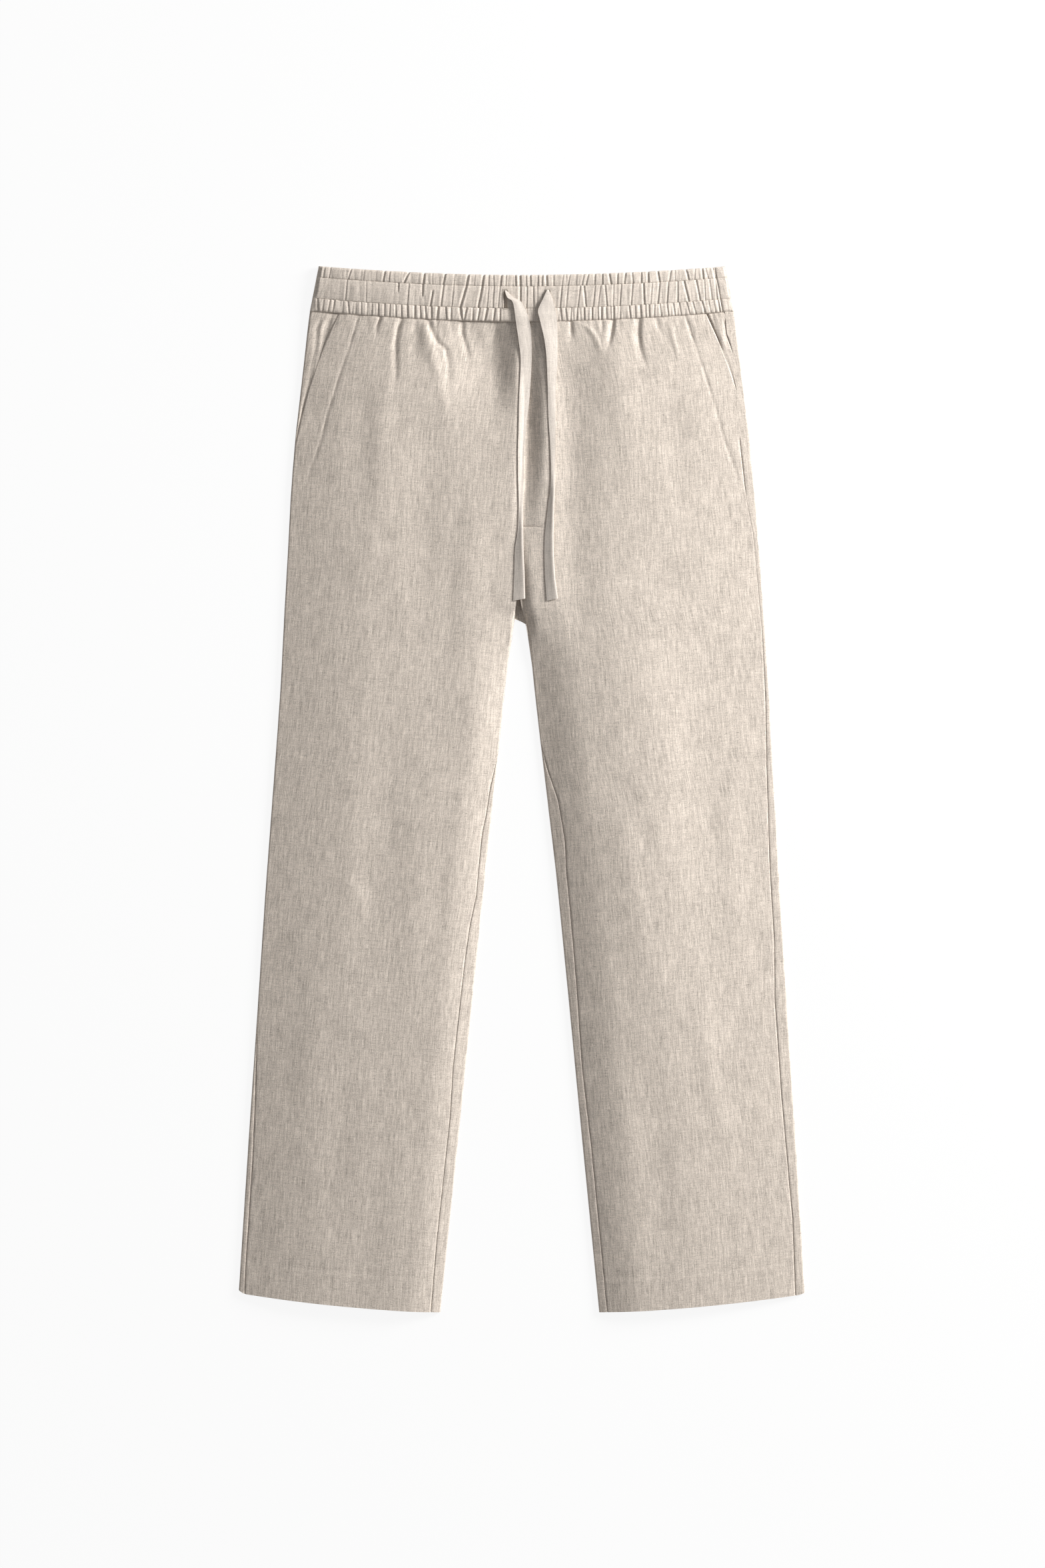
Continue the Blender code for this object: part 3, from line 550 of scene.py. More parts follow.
def base_height(x, y, name):
    """The front without its creases: full over the leg, falling to both folded edges."""
    reach = np.abs(x)
    outside = outer_edge(y) - reach
    outer = outer_radius(y)
    drop = (CROWN - 2 * outer) * (1 - ramp((outside - outer) / OUTER_SLOPE[name]))
    radius = inner_radius(y)
    inside = reach - inner_edge(np.minimum(y, BACK_FORK_Y))
    parted = ease((BACK_FORK_Y + 0.016 - y) / 0.018)
    risen = np.sin(0.5 * np.pi * np.clip((inside - radius) / INNER_SLOPE[name], 0.0, 1.0))
    inner_drop = (CROWN - 2 * radius) * (1 - risen) * parted
    drop += inner_drop * (1 - drop / CROWN)
    return CROWN - drop - fold_roll(outside, outer) - parted * fold_roll(inside, radius)


def cloth_height(x, y, name):
    """The height of the front's outer face, creases and puckers included."""
    settled = ease((outer_edge(y) - np.abs(x)) / 0.024)
    inner = ease((np.abs(x) - inner_edge(y) + 0.002) / 0.018)
    settled = settled * np.where(y > BACK_FORK_Y + 0.012, 1.0, inner)
    below = np.maximum(band_seam(x) - y, 0.0)
    folds = crease_height(x, y, CREASES) + pucker_height(x, below, 11)
    fork = crease_height(x, y, FORK_SLOPE) if name == "left" else 0.0
    return np.maximum(base_height(x, y, name) + folds * settled + fork, LOWEST)


def channel_height(x, share, behind=False):
    """The casing's puffed channels with their gathers, above its plain form."""
    total = np.zeros(np.broadcast(x, share).shape)
    for channel in CHANNELS:
        inside = (share >= channel.start) & (share <= channel.end)
        t = (share - channel.start) / (channel.end - channel.start)
        height = channel.puff * np.clip(4 * t * (1 - t), 0, 1) ** 0.55
        places, strengths, leans = uneven_places(-0.206, 0.206, channel.spacing, channel.seed)
        depth = channel.depth * (2.2 if behind else 1.0)
        for place, strength, lean in zip(places, strengths, leans):
            line_x = place + lean * 0.0022 * (t - 0.5)
            width = channel.spacing * (0.14 + 0.16 * strength)
            height = height - depth * strength * np.exp(-np.abs(x - line_x) / width)
        for row in channel.back if behind else channel.front:
            height = height + gather_height(x, t, Gather(*row))
        total += np.where(inside, height, 0.0)
    return total


def gather_height(x, t, gather):
    """A fold of the casing: a narrow furrow with cloth standing up beside it."""
    away = x * 1000 - gather.top - (gather.low - gather.top) * t
    right, left = 0.40 + 0.28 * gather.depth, 0.52 + 0.36 * gather.depth
    reach = np.where(away > 0, right, left)
    furrow = np.exp(-np.abs(away) / reach)
    beside = 0.34 * np.exp(-(((away / right - 2.6) / 1.5) ** 2))
    beside += 0.20 * np.exp(-(((away / left + 2.6) / 1.5) ** 2))
    along = (t - gather.start) / (gather.end - gather.start)
    fade = ease(along / 0.12 + 0.55) * ease((1 - along) / 0.12 + 0.55)
    return gather.depth / 1000 * fade * (beside - furrow)


def band_height_at(x, share):
    """The height of the front band's outer face."""
    from_outside = SECTIONS[1].outer - np.abs(x) - BAND_FOLD_RADIUS
    edge = 2 * BAND_FOLD_RADIUS
    rise = ramp(from_outside / np.where(x > 0, OUTER_SLOPE["left"], OUTER_SLOPE["right"]))
    base = edge + (BAND_CROWN - edge) * rise
    settled = ease(from_outside / 0.008 + 0.15)
    return base + channel_height(x, share) * settled


def garment_height(x, y, name):
    """The height of the outer cloth at a point, on the band or below it."""
    share = band_share(x, y)
    band = band_height_at(x, np.clip(share, 0, 1))
    return np.where(share <= 1.0, band, cloth_height(x, y, name))


# ---------------------------------------------------------------- making pieces


def deselect_all():
    if bpy.context.object and bpy.context.object.mode != "OBJECT":
        bpy.ops.object.mode_set(mode="OBJECT")
    bpy.ops.object.select_all(action="DESELECT")


def only(piece):
    """Selects this piece alone and makes it active."""
    deselect_all()
    piece.select_set(True)
    bpy.context.view_layer.objects.active = piece


def cloth_grid(name, places, weave, wall, material, offset=-1.0):
    """A wall of cloth over a grid of places by rows, with its weave laid out in metres."""
    n_rows, n_columns = places.shape[0] - 1, places.shape[1] - 1
    deselect_all()
    bpy.ops.mesh.primitive_grid_add(
        x_subdivisions=n_columns, y_subdivisions=n_rows, size=2.0, location=(0, 0, 0)
    )
    piece = bpy.context.object
    piece.name = name
    mesh = piece.data
    mesh.name = name
    flat = np.empty(len(mesh.vertices) * 3, np.float32)
    mesh.vertices.foreach_get("co", flat)
    flat = flat.reshape(-1, 3)
    column = np.rint((flat[:, 0] + 1) / 2 * n_columns).astype(int)
    row = np.rint((1 - flat[:, 1]) / 2 * n_rows).astype(int)
    mesh.vertices.foreach_set("co", laid(places)[row, column].astype(np.float32).ravel())
    corners = np.empty(len(mesh.loops), np.int32)
    mesh.loops.foreach_get("vertex_index", corners)
    layer = mesh.uv_layers[0]
    layer.name = "weave"
    layer.uv.foreach_set("vector", weave[row, column][corners].astype(np.float32).ravel())
    mesh.materials.append(material)
    mesh.update()
    cloth = piece.modifiers.new("cloth wall", "SOLIDIFY")
    cloth.thickness = wall
    cloth.offset = offset
    only(piece)
    bpy.ops.object.modifier_apply(modifier=cloth.name)
    for vertex in piece.data.vertices:
        vertex.co.z = max(vertex.co.z, 0.0)  # cloth rests on the floor, not in it
    bpy.ops.object.shade_smooth_by_angle(angle=math.radians(62))
    return piece


def weave_of(places, across_from=0.0):
    """Each place's spot on the flat cloth: metres across the grain, metres down it."""
    steps = np.linalg.norm(np.diff(places, axis=1), axis=2)
    across = np.concatenate([np.zeros((len(places), 1)), np.cumsum(steps, axis=1)], axis=1)
    middle = across.shape[1] // 2
    across = across - across[:, middle : middle + 1] + across_from
    steps = np.linalg.norm(np.diff(places, axis=0), axis=2)
    down = np.concatenate([np.zeros((1, places.shape[1])), np.cumsum(steps, axis=0)], axis=0)
    return np.stack([across, -down.mean(axis=1, keepdims=True) + 0 * across], axis=2)


def for_side(grid, side):
    """A grid made for the wearer's left, turned over for the right."""
    if side > 0:
        return grid
    return grid[:, ::-1] * np.array([-1.0, 1.0, 1.0])


def with_fine_ends(start, end, step, fine=(0.0, 0.0003, 0.0007, 0.0012, 0.0018, 0.0026)):
    """Shares from 0 to 1 whose steps are short near both ends of a stretch in metres."""
    length = abs(end - start)
    fine = np.array(fine) / length
    inner = spaced(fine[-1], 1 - fine[-1], step / length)
    return np.concatenate([fine[:-1], inner, 1 - fine[:-1][::-1]])


LEG_LENGTH = 0.974  # from the waist seam to the hem, down the garment's middle


def leg_rows():
    """How far below the waist seam each row of a leg crosses its middle, as shares."""
    below = np.concatenate([
        [-0.0045, -0.0020, -0.0008, 0.0, 0.0004, 0.0009, 0.0015, 0.0022],
        spaced(0.0032, 0.060, 0.0017),
        spaced(0.0625, 0.150, 0.0030),
        spaced(0.1540, 0.1970, 0.0048),
        [0.1990, 0.2000, 0.2006, 0.2010, 0.2014, 0.2019, 0.2026, 0.2040],
        spaced(0.2080, 0.2560, 0.0048),
        spaced(0.2600, 0.2892, 0.0026),
        [0.2905, 0.2911, 0.2916, 0.2919, 0.2923, 0.2930, 0.2942],
        spaced(0.2960, 0.3250, 0.0030),
        spaced(0.3310, LEG_LENGTH - 0.050, 0.0062),
        spaced(LEG_LENGTH - 0.0455, LEG_LENGTH - 0.0030, 0.0022),
        [LEG_LENGTH - 0.0015, LEG_LENGTH - 0.0006, LEG_LENGTH],
    ])
    return below / LEG_LENGTH


HEM_TURN = ((0.0002, 0.0007), (0.0012, 0.0013), (0.0080, 0.0016), (0.0200, 0.0016), (0.0335, 0.0016))
# the hem's cloth turned up behind itself: how far back up the leg, and how far behind


def turn_up(grid):
    """Adds the hem's turned-up cloth after the last row of a panel that faces outwards."""
    across = np.gradient(grid[-1], axis=0)
    up = grid[-6] - grid[-1]
    up /= np.linalg.norm(up, axis=1)[:, None]
    outwards = np.cross(across, up)
    outwards /= np.linalg.norm(outwards, axis=1)[:, None]
    rows = [grid[-1] + back * up - behind * outwards for back, behind in HEM_TURN]
    return np.concatenate([grid, np.array(rows)])


# ---------------------------------------------------------------- the legs' panels

WAIST_DITCH = 0.0008  # the front sinks this much into the waist seam


def seam_dip(distance, depth, width):
    """Cloth rolling down into a seam or over a turned edge."""
    return depth * np.exp(-np.maximum(distance, 0.0) / width)


def front_grid(name):
    """Places of a front panel, from the waist seam to the hem and from the middle outwards."""
    side = SIDES[name]
    shares = leg_rows()[:, None]
    across = with_fine_ends(0.0, 0.19, 0.0012)[None, :]
    x = np.full((shares.size, across.size), 0.1)
    for _ in range(7):
        y = row_height(x, shares, name)
        inner, outer = front_inner_line(y, name), front_outer_line(y, name)
        x = inner * (1 - across) + outer * across
    z = cloth_height(side * x, y, name)
    z -= seam_dip(band_seam(x) - y, WAIST_DITCH, 0.0012)
    z -= seam_dip(x - inner, side_seam_depth(y, INSEAMS[name]), 0.0004)
    to_edge = outer - x
    mouth = mouth_line(y) < outseam_line(y, name)
    depth = outseam_depth(y, name)
    z -= np.where(mouth, seam_dip(to_edge, 0.0008, 0.0003), seam_dip(to_edge, depth, 0.0004))
    z -= pocket_row_dip(x, y)
    z -= fly_row_dip(side * x, y)
    z -= hem_row_dip(x, y, name)
    return for_side(turn_up(np.stack([x, y, z], axis=2)), side)


def side_seam_depth(y, seams):
    """A side seam's ditch, none where the seam runs round the folded edge."""
    return 0.0007 * ease((read(seams, y, "inset") - 0.0008) / 0.002)


def outseam_depth(y, name):
    return side_seam_depth(y, OUTSEAMS[name]) * read(OUTSEAM_SHOWS[name], y, "share")


POCKET_ROW = (  # the pocket bag's stitched row, inside the mouth
    (0.1590, 0.464), (0.1680, 0.435), (0.1790, 0.403), (0.1890, 0.371), (0.1975, 0.339),
    (0.2075, 0.311), (0.2150, 0.292),
)


def pocket_row_x(y):
    return line_x(POCKET_ROW, y)


def pocket_row_dip(x, y):
    fade = ease((y - 0.288) / 0.030)
    away = x - pocket_row_x(y)
    reach = np.where(away > 0, 0.0009, 0.0005)
    return 0.0009 * fade * np.exp(-np.abs(away) / reach)


FLY_WIDTH = 0.0265
FLY_FOOT_Y = 0.2560


def fly_row_x(y):
    """The mock fly's stitched row: straight down, then curving in to the middle seam."""
    drop = np.clip((FLY_FOOT_Y + 0.022 - y) / 0.022, 0, 1)
    return FLY_WIDTH * np.cbrt(np.maximum(1 - drop**6, 0.0))


def fly_row_dip(x, y):
    """The fly's stitched row on the wearer's left front."""
    on = (x > 0) & (y > FLY_FOOT_Y)
    away = np.abs(x - fly_row_x(y))
    foot = np.exp(-np.abs(y - FLY_FOOT_Y) / 0.0008) * (x > 0) * (x < 0.020)
    return np.where(on, 0.0005 * np.exp(-away / 0.0010), 0.0) + 0.0010 * foot


HEM_TURN_HEIGHT = 0.0345


def hem_row_dip(x, y, name):
    """The shallow ditch of the hem's stitched row."""
    away = np.abs(y - hem_line(x, name) - HEM_TURN_HEIGHT)
    return 0.0003 * np.exp(-away / 0.0015) * (y < -0.40)


def arc(steps):
    return np.linspace(0.0, 1.0, steps + 1)


INNER_COLUMNS = 26
OUTER_COLUMNS = 26
UNDER_COLUMNS = 44
FOLD_FLAT = 0.006


def fold_path(inset, radius, height_at):
    """Distances in from a folded edge, and heights, from the seam on top round to the underside."""
    first = math.asin(1 - min(inset / radius, 1.0))
    turn = first + (math.pi - first) * arc(14)
    path = np.stack([radius * (1 - np.sin(turn)), radius * (1 + np.cos(turn))], axis=1)
    if inset > radius:
        strip = inset + (radius - inset) * np.array([0, 0.0003, 0.0008, 0.0015]) / (inset - radius)
        strip = np.concatenate([np.minimum(strip, inset), np.linspace(inset - 0.0022, radius, 8)])
        strip = np.unique(np.clip(strip, radius, inset))[::-1]
        path = np.concatenate([np.stack([strip, height_at(strip)], axis=1)[:-1], path])
    return np.concatenate([path, [[radius + FOLD_FLAT, 0.0]]])


def fine_at_start(path, count):
    """Points along a path, closer together over its first two millimetres."""
    steps = np.hypot(*np.diff(path, axis=0).T)
    lengths = np.concatenate([[0.0], np.cumsum(steps)])
    start = np.array([0.0, 0.0003, 0.0007, 0.0013])
    at = np.concatenate([start, np.linspace(0.0021, lengths[-1], count + 1 - len(start))])
    return np.stack([np.interp(at, lengths, path[:, k]) for k in (0, 1)], axis=1)


def inner_section(y, side, name):
    """The back's section from the inseam round the inner fold to the flat underside."""
    if y >= BACK_FORK_Y:
        t = arc(INNER_COLUMNS)
        return np.stack([0.014 * t, 0 * t], axis=1)
    edge = float(inner_edge(y))
    inset = float(front_inner_line(y, name)) - SEAM_GAP - edge
    depth = side_seam_depth(y, INSEAMS[name])

    def height_at(distance):
        top = cloth_height(side * (edge + distance), y, name)
        return top - seam_dip(inset - distance, depth, 0.0004)

    path = fold_path(max(inset, 0.0001), float(inner_radius(y)), height_at)
    return fine_at_start(path, INNER_COLUMNS) + [edge, 0]


def outer_section(y, side, name):
    """The back's section from the flat underside round the outer fold to the outseam."""
    edge = float(outer_edge(y))
    gap = SEAM_GAP * (0.1 + 0.9 * read(OUTSEAM_SHOWS[name], y, "share"))
    inset = float(read(OUTSEAMS[name], y, "inset") - gap)
    depth = outseam_depth(y, name)

    def height_at(distance):
        top = cloth_height(side * (edge - distance), y, name)
        return top - seam_dip(inset - distance, depth, 0.0004)

    path = fold_path(inset, float(outer_radius(y)), height_at)
    return (fine_at_start(path, OUTER_COLUMNS) * [-1, 1] + [edge, 0])[::-1]


def back_grid(name):
    """Places of a back panel, from the waist seam to the hem and from the outseam inwards."""
    side = SIDES[name]
    shares = leg_rows()
    y_table = np.concatenate([
        np.linspace(0.475, 0.170, 124), [0.166, 0.1652, 0.1648, 0.1645, BACK_FORK_Y],
        [BACK_FORK_Y - 0.00005, 0.1640, 0.1635, 0.1625, 0.161], np.linspace(0.1590, -0.530, 280),
    ])
    table = []
    for y in y_table:
        inner, outer = inner_section(y, side, name), outer_section(y, side, name)
        t = arc(UNDER_COLUMNS)[1:-1]
        under_x = inner[-1, 0] + (outer[0, 0] - inner[-1, 0]) * t
        under = np.stack([under_x, 0 * t], axis=1)
        table.append(np.concatenate([inner, under, outer]))
    table = np.array(table)
    grid = []
    for share in shares:
        row = []
        for column in range(table.shape[1]):
            y = float(band_seam(0.0)) - share * LEG_LENGTH
            for _ in range(5):
                x = np.interp(-y, -y_table, table[:, column, 0])
                y = float(row_height(x, share, name))
            row.append((x, y, np.interp(-y, -y_table, table[:, column, 1])))
        grid.append(row)
    grid = np.array(grid)
    flat = ease((outer_edge(grid[:, :, 1]) - grid[:, :, 0] - 0.004) / 0.02)
    flat = flat * ease((grid[:, :, 0] - inner_edge(grid[:, :, 1]) - 0.004) / 0.02)
    under = np.arange(grid.shape[1])
    under = (under > INNER_COLUMNS) & (under < grid.shape[1] - OUTER_COLUMNS)
    folds = crease_height(side * grid[:, :, 0], grid[:, :, 1], BACK_CREASES)
    below = np.maximum(band_seam(grid[:, :, 0]) - grid[:, :, 1], 0.0)
    folds = folds - pucker_height(side * grid[:, :, 0], below, 23, spacing=0.014, depth=0.0005)
    grid[:, :, 2] += np.where(under[None, :], np.maximum(folds, 0.0) * flat, 0.0)
    return for_side(turn_up(grid[:, ::-1]), side)


FACING_TUCK = 0.0075  # the facing goes this far under the front
FACING_DROP = {"left": 0.0006, "right": 0.0009}
FACING_CREASES = (
    Crease(((-0.1890, 0.460), (-0.1925, 0.448), (-0.1960, 0.430)), -0.0011, 0.005, 0.006, 0.12),
    Crease(((-0.1965, 0.461), (-0.2010, 0.450), (-0.2030, 0.405)), -0.0009, 0.004, 0.005, 0.15),
    Crease(((-0.1980, 0.440), (-0.2040, 0.400), (-0.2110, 0.350)), 0.0008, 0.005, 0.005, 0.25),
    Crease(((0.1990, 0.459), (0.2010, 0.445), (0.1985, 0.420)), -0.0008, 0.005, 0.005, 0.12),
    Crease(((0.2020, 0.445), (0.2050, 0.432), (0.2075, 0.424)), -0.0009, 0.002, 0.003, 0.15),
    Crease(((0.1935, 0.452), (0.1985, 0.425), (0.2050, 0.395)), 0.0006, 0.005, 0.005, 0.25),
)


def facing_grid(name):
    """Places of the pocket facing that shows between the mouth and the outseam."""
    side = SIDES[name]
    below = np.concatenate([[-0.0045, -0.002, -0.0008, 0.0, 0.0005, 0.001], spaced(0.002, 0.127, 0.002)])
    shares = (below / LEG_LENGTH)[:, None]
    across = with_fine_ends(0.0, 0.036, 0.0009)[None, :]
    x = np.full((shares.size, across.size), MOUTH_TOP_X)
    for _ in range(7):
        y = row_height(x, shares, name)
        mouth, seam = mouth_line(y), outseam_line(y, name)
        closed = ease((mouth - seam) / 0.0014 + 0.15)
        inner, outer = np.minimum(mouth, seam) - FACING_TUCK, seam - 0.0020 * closed
        x = inner * (1 - across) + outer * across
    z = cloth_height(side * x, y, name) + crease_height(side * x, y, FACING_CREASES)
    width = np.maximum(outer - mouth, 1e-4)
    open_share = np.clip((x - mouth) / width, 0.0, 1.0)
    lifted = ease(open_share * 1.5) * (1 - closed)
    drop = FACING_DROP[name] * (1 - lifted) * (0.3 + 0.7 * ease((band_seam(x) - y) / 0.012))
    if side > 0:
        drop += 0.0018 * ease((y - 0.426) / 0.016) * (1 - ease(open_share * 6.0))
    z -= drop + seam_dip(band_seam(x) - y, WAIST_DITCH, 0.0012)
    z -= seam_dip(outer - x, outseam_depth(y, name), 0.0004)
    z = np.maximum(z, LOWEST)
    return for_side(np.stack([x, y, z], axis=2), side)


# ---------------------------------------------------------------- the waistband


def band_half_width(share):
    return SECTIONS[0].outer * (1 - share) + SECTIONS[1].outer * share


BAND_UNDER = 0.0016  # how high the back band's underside is where nothing gathers it
BAND_UNDER_MOST = 0.0034  # and the most that its gathers lift it


def band_underside(x, share):
    """The height of the back band's underside, gathered like the front."""
    under = channel_height(x, share + 0 * x, behind=True)
    return np.clip(BAND_UNDER - under, 0.0, BAND_UNDER_MOST)


def band_y(x, share):
    return waist_line(x) * (1 - share) + band_seam(x) * share


def band_shares():
    """Shares of the band's height for its rows, closer at its edges and stitched rows."""
    shares = [0.0, 0.008, 0.02, 0.035, 0.055]
    shares += list(spaced(0.08, 0.20, 0.03)) + [0.22, 0.235, 0.245, 0.25, 0.255, 0.265, 0.28]
    shares += list(spaced(0.305, 0.66, 0.032)) + [0.685, 0.70, 0.71, 0.715, 0.72, 0.73, 0.745]
    shares += list(spaced(0.77, 0.93, 0.026)) + [0.95, 0.965, 0.98, 0.992, 1.0]
    return np.array(shares)


def band_edges_dip(share):
    """The casing turning over at its top edge and rolling under at its seam."""
    from_top, from_seam = share * BAND_HEIGHT, (1 - share) * BAND_HEIGHT
    return seam_dip(from_top, 0.0016, 0.0006) + seam_dip(from_seam, 0.0013, 0.0007)


def top_edge_wave(x):
    """The gathered casing's top edge drops a little at each fold."""
    drop = np.zeros(np.shape(x))
    for top, _, depth in TOP_GATHERS:
        drop += 0.0006 * depth * np.exp(-np.abs(x * 1000 - top) / 1.3)
    return -drop


def buttonhole_dip(x, y):
    """The two slits that the tapes leave by, sunk as deep narrow dips into the band."""
    total = np.zeros(np.broadcast(x, y).shape)
    for slit_x in SLIT_X.values():
        beside = ease((0.0017 - np.abs(x - slit_x)) / 0.0008 + 0.5)
        along = ease((SLIT_TOP_Y - y) / 0.0010 + 0.5)
        along = along * ease((y - SLIT_TOP_Y + SLIT_LENGTH) / 0.0010 + 0.5)
        total += 0.0036 * beside * along
    return total


def waistband_front_grid():
    share = band_shares()[:, None]
    half = band_half_width(share) - BAND_WRAP
    across = np.linspace(-1.0, 1.0, 801)[None, :]
    x = half * across
    y = band_y(x, share)
    z = band_height_at(x, share) - band_edges_dip(share) - buttonhole_dip(x, y)
    z -= seam_dip(half - np.abs(x), 0.0009, 0.0007) * np.where(x > 0, 1.0, 0.1)
    y = y + top_edge_wave(x) * (1 - ease(share / 0.2))
    return np.stack([x, y, z], axis=2)


def waistband_back_grid():
    """From the wearer's left side seam round under the body to the right one."""
    rows = []
    for share in band_shares():
        half = band_half_width(share)
        seam_x = half - BAND_WRAP + SEAM_GAP
        strip = np.linspace(seam_x, half - BAND_FOLD_RADIUS, 14)
        closed_strip = np.linspace(seam_x - SEAM_GAP * 0.9, half - BAND_FOLD_RADIUS, 14)
        turn = np.pi * (1 - arc(14))
        round_x = half - BAND_FOLD_RADIUS * (1 - np.sin(turn))
        round_z = BAND_FOLD_RADIUS * (1 - np.cos(turn))
        flat = np.linspace(round_x[-1], -round_x[-1], 300)[1:-1]
        dip = band_edges_dip(share)
        under = band_underside(flat, share) * ease((half - np.abs(flat)) / 0.012)
        left = band_height_at(strip, share) - dip - seam_dip(strip - seam_x, 0.0009, 0.0007)
        right = band_height_at(-closed_strip, share) - dip
        squeeze = 1 - dip / (2 * BAND_FOLD_RADIUS)
        edge_z = round_z * squeeze + dip * 0.4
        x = np.concatenate([strip[:-1], round_x, flat, -round_x[::-1], -closed_strip[:-1][::-1]])
        z = np.concatenate([left[:-1], edge_z, under + dip * 0.4, edge_z[::-1], right[:-1][::-1]])
        y = band_y(x, share) + top_edge_wave(-x) * (1 - ease(share / 0.2))
        rows.append(np.stack([x, y, z], axis=1))
    return np.array(rows)


# ---------------------------------------------------------------- the drawstring

TAPE_ROWS = 190
TAPE_COLUMNS = 16


def tape_grid(name, thickness):
    """Places across a tape, from its buttonhole to its cut end, lying on the cloth."""
    stations = TAPES[name]
    position = np.linspace(0, len(stations) - 1, TAPE_ROWS + 1)
    y = smooth_read(stations, position, "y") / 1000
    corners_x = np.stack([smooth_read(stations, position, c) for c in "abcd"], axis=1) / 1000
    lifts = [smooth_read(stations, position, c + "_lift") for c in "abcd"]
    corners_z = np.stack(lifts, axis=1) / 1000
    across = np.linspace(0, 3, TAPE_COLUMNS + 1)
    x, lift = (spread(corners, across) for corners in (corners_x, corners_z))
    cut = ease(position - len(stations) + 2)[:, None]
    y = y[:, None] - CUT_SLANT * (x[:, -1:] - x) * cut
    plain_x = x - sway(x, y)
    nearby = [
        garment_height(plain_x + dx, y + dy, name) for dx in (-0.002, 0, 0.002) for dy in (-0.002, 0.002)
    ]
    under = np.mean(nearby, axis=0)
    highest = np.max(nearby, axis=0)
    resting = under.mean(axis=1, keepdims=True)
    z = resting + TAPE_CLEAR + thickness / 2 + lift
    leaving = lift < 0
    z = np.where(leaving, z, np.maximum(z, highest + TAPE_CLEAR * 0.5 + thickness / 2))
    return np.stack([plain_x, y, smooth_down(z)], axis=2)


def spread(corners, across):
    """Values along a smooth curve through each row's four corners."""
    index = np.minimum(across.astype(int), 2)
    t = across - index
    a, b, c, d = (corners[:, np.clip(index + k, 0, 3)] for k in (-1, 0, 1, 2))
    curve = (-a + 3 * b - 3 * c + d) * t**3 + (2 * a - 5 * b + 4 * c - d) * t**2 + (c - a) * t
    return b + 0.5 * curve


def smooth_down(z, passes=6):
    """Evens a tape's height along its length, keeping its two ends."""
    z = z.copy()
    for _ in range(passes):
        z[6:-1] = 0.25 * z[5:-2] + 0.5 * z[6:-1] + 0.25 * z[7:]
    return z


# ---------------------------------------------------------------- stitches


def model_one_stitch(length, thickness):
    """One short length of thread, thinner where it goes into the cloth."""
    deselect_all()
    bpy.ops.mesh.primitive_cylinder_add(
        vertices=5, radius=thickness / 2, depth=length * 0.6, rotation=(0, math.pi / 2, 0)
    )
    stitch = bpy.context.object
    bpy.ops.object.transform_apply(location=False, rotation=True, scale=False)
    bpy.ops.object.mode_set(mode="EDIT")
    bpy.ops.mesh.select_mode(type="FACE")
    for end in (-1, 1):
        bpy.ops.mesh.select_all(action="DESELECT")
        bpy.ops.object.mode_set(mode="OBJECT")
        for face in stitch.data.polygons:
            face.select = face.normal.x * end > 0.9
        bpy.ops.object.mode_set(mode="EDIT")
        bpy.ops.mesh.extrude_region_move(
            TRANSFORM_OT_translate={"value": (end * length * 0.2, 0, -thickness * 0.45)}
        )
        bpy.ops.transform.resize(value=(1, 0.55, 0.55), center_override=(
            end * length * 0.5, 0, -thickness * 0.45))
    bpy.ops.mesh.select_all(action="SELECT")
    bpy.ops.mesh.quads_convert_to_tris()
    bpy.ops.object.mode_set(mode="OBJECT")
    return stitch


def stitch_run(line, pitch, length, seed, wander=0.00012, cross=False):
    """Where the stitches of a seam lie: rows of (middle, direction) along a line of points."""
    line = np.asarray(line, float)
    steps = np.linalg.norm(np.diff(line, axis=0), axis=1)
    lengths = np.concatenate([[0.0], np.cumsum(steps)])
    middles = np.arange(pitch / 2, lengths[-1], pitch)
    draw = np.random.default_rng(seed)
    middles = middles + draw.uniform(-0.06, 0.06, len(middles)) * pitch

    def at(distance):
        return np.stack([np.interp(distance, lengths, line[:, k]) for k in range(3)], axis=1)

    centre = at(middles)
    along = at(middles + length / 2) - at(middles - length / 2)
    along /= np.linalg.norm(along, axis=1)[:, None]
    if cross:
        along = np.stack([-along[:, 1], along[:, 0], along[:, 2] * 0], axis=1)
    centre[:, :2] += draw.uniform(-wander, wander, (len(middles), 2))
    return centre, along


def sew(name, runs, length, thickness, material):
    """One object that holds every stitch of these runs, each a copy of one modelled stitch."""
    stitch = model_one_stitch(length, thickness)
    mesh = stitch.data
    runs = [(laid(middles), along) for middles, along in runs]
    shape = np.array([vertex.co for vertex in mesh.vertices])
    faces = np.array([face.vertices for face in mesh.polygons])
    centres = np.concatenate([run[0] for run in runs])
    along = np.concatenate([run[1] for run in runs])
    beside = np.stack([-along[:, 1], along[:, 0], 0 * along[:, 2]], axis=1)
    beside /= np.linalg.norm(beside, axis=1)[:, None]
    up = np.cross(along, beside)
    placed = (
        centres[:, None]
        + shape[None, :, 0:1] * along[:, None]
        + shape[None, :, 1:2] * beside[:, None]
        + shape[None, :, 2:3] * up[:, None]
    )
    offsets = np.arange(len(centres))[:, None, None] * len(shape)
    sewn = bpy.data.meshes.new(name)
    sewn.from_pydata(
        placed.reshape(-1, 3).tolist(), [], (faces[None] + offsets).reshape(-1, 3).tolist()
    )
    sewn.materials.append(material)
    sewn.shade_smooth()
    bpy.data.objects.remove(stitch)
    bpy.data.meshes.remove(mesh)
    piece = bpy.data.objects.new(name, sewn)
    bpy.context.scene.collection.objects.link(piece)
    return piece


# ---------------------------------------------------------------- finishes


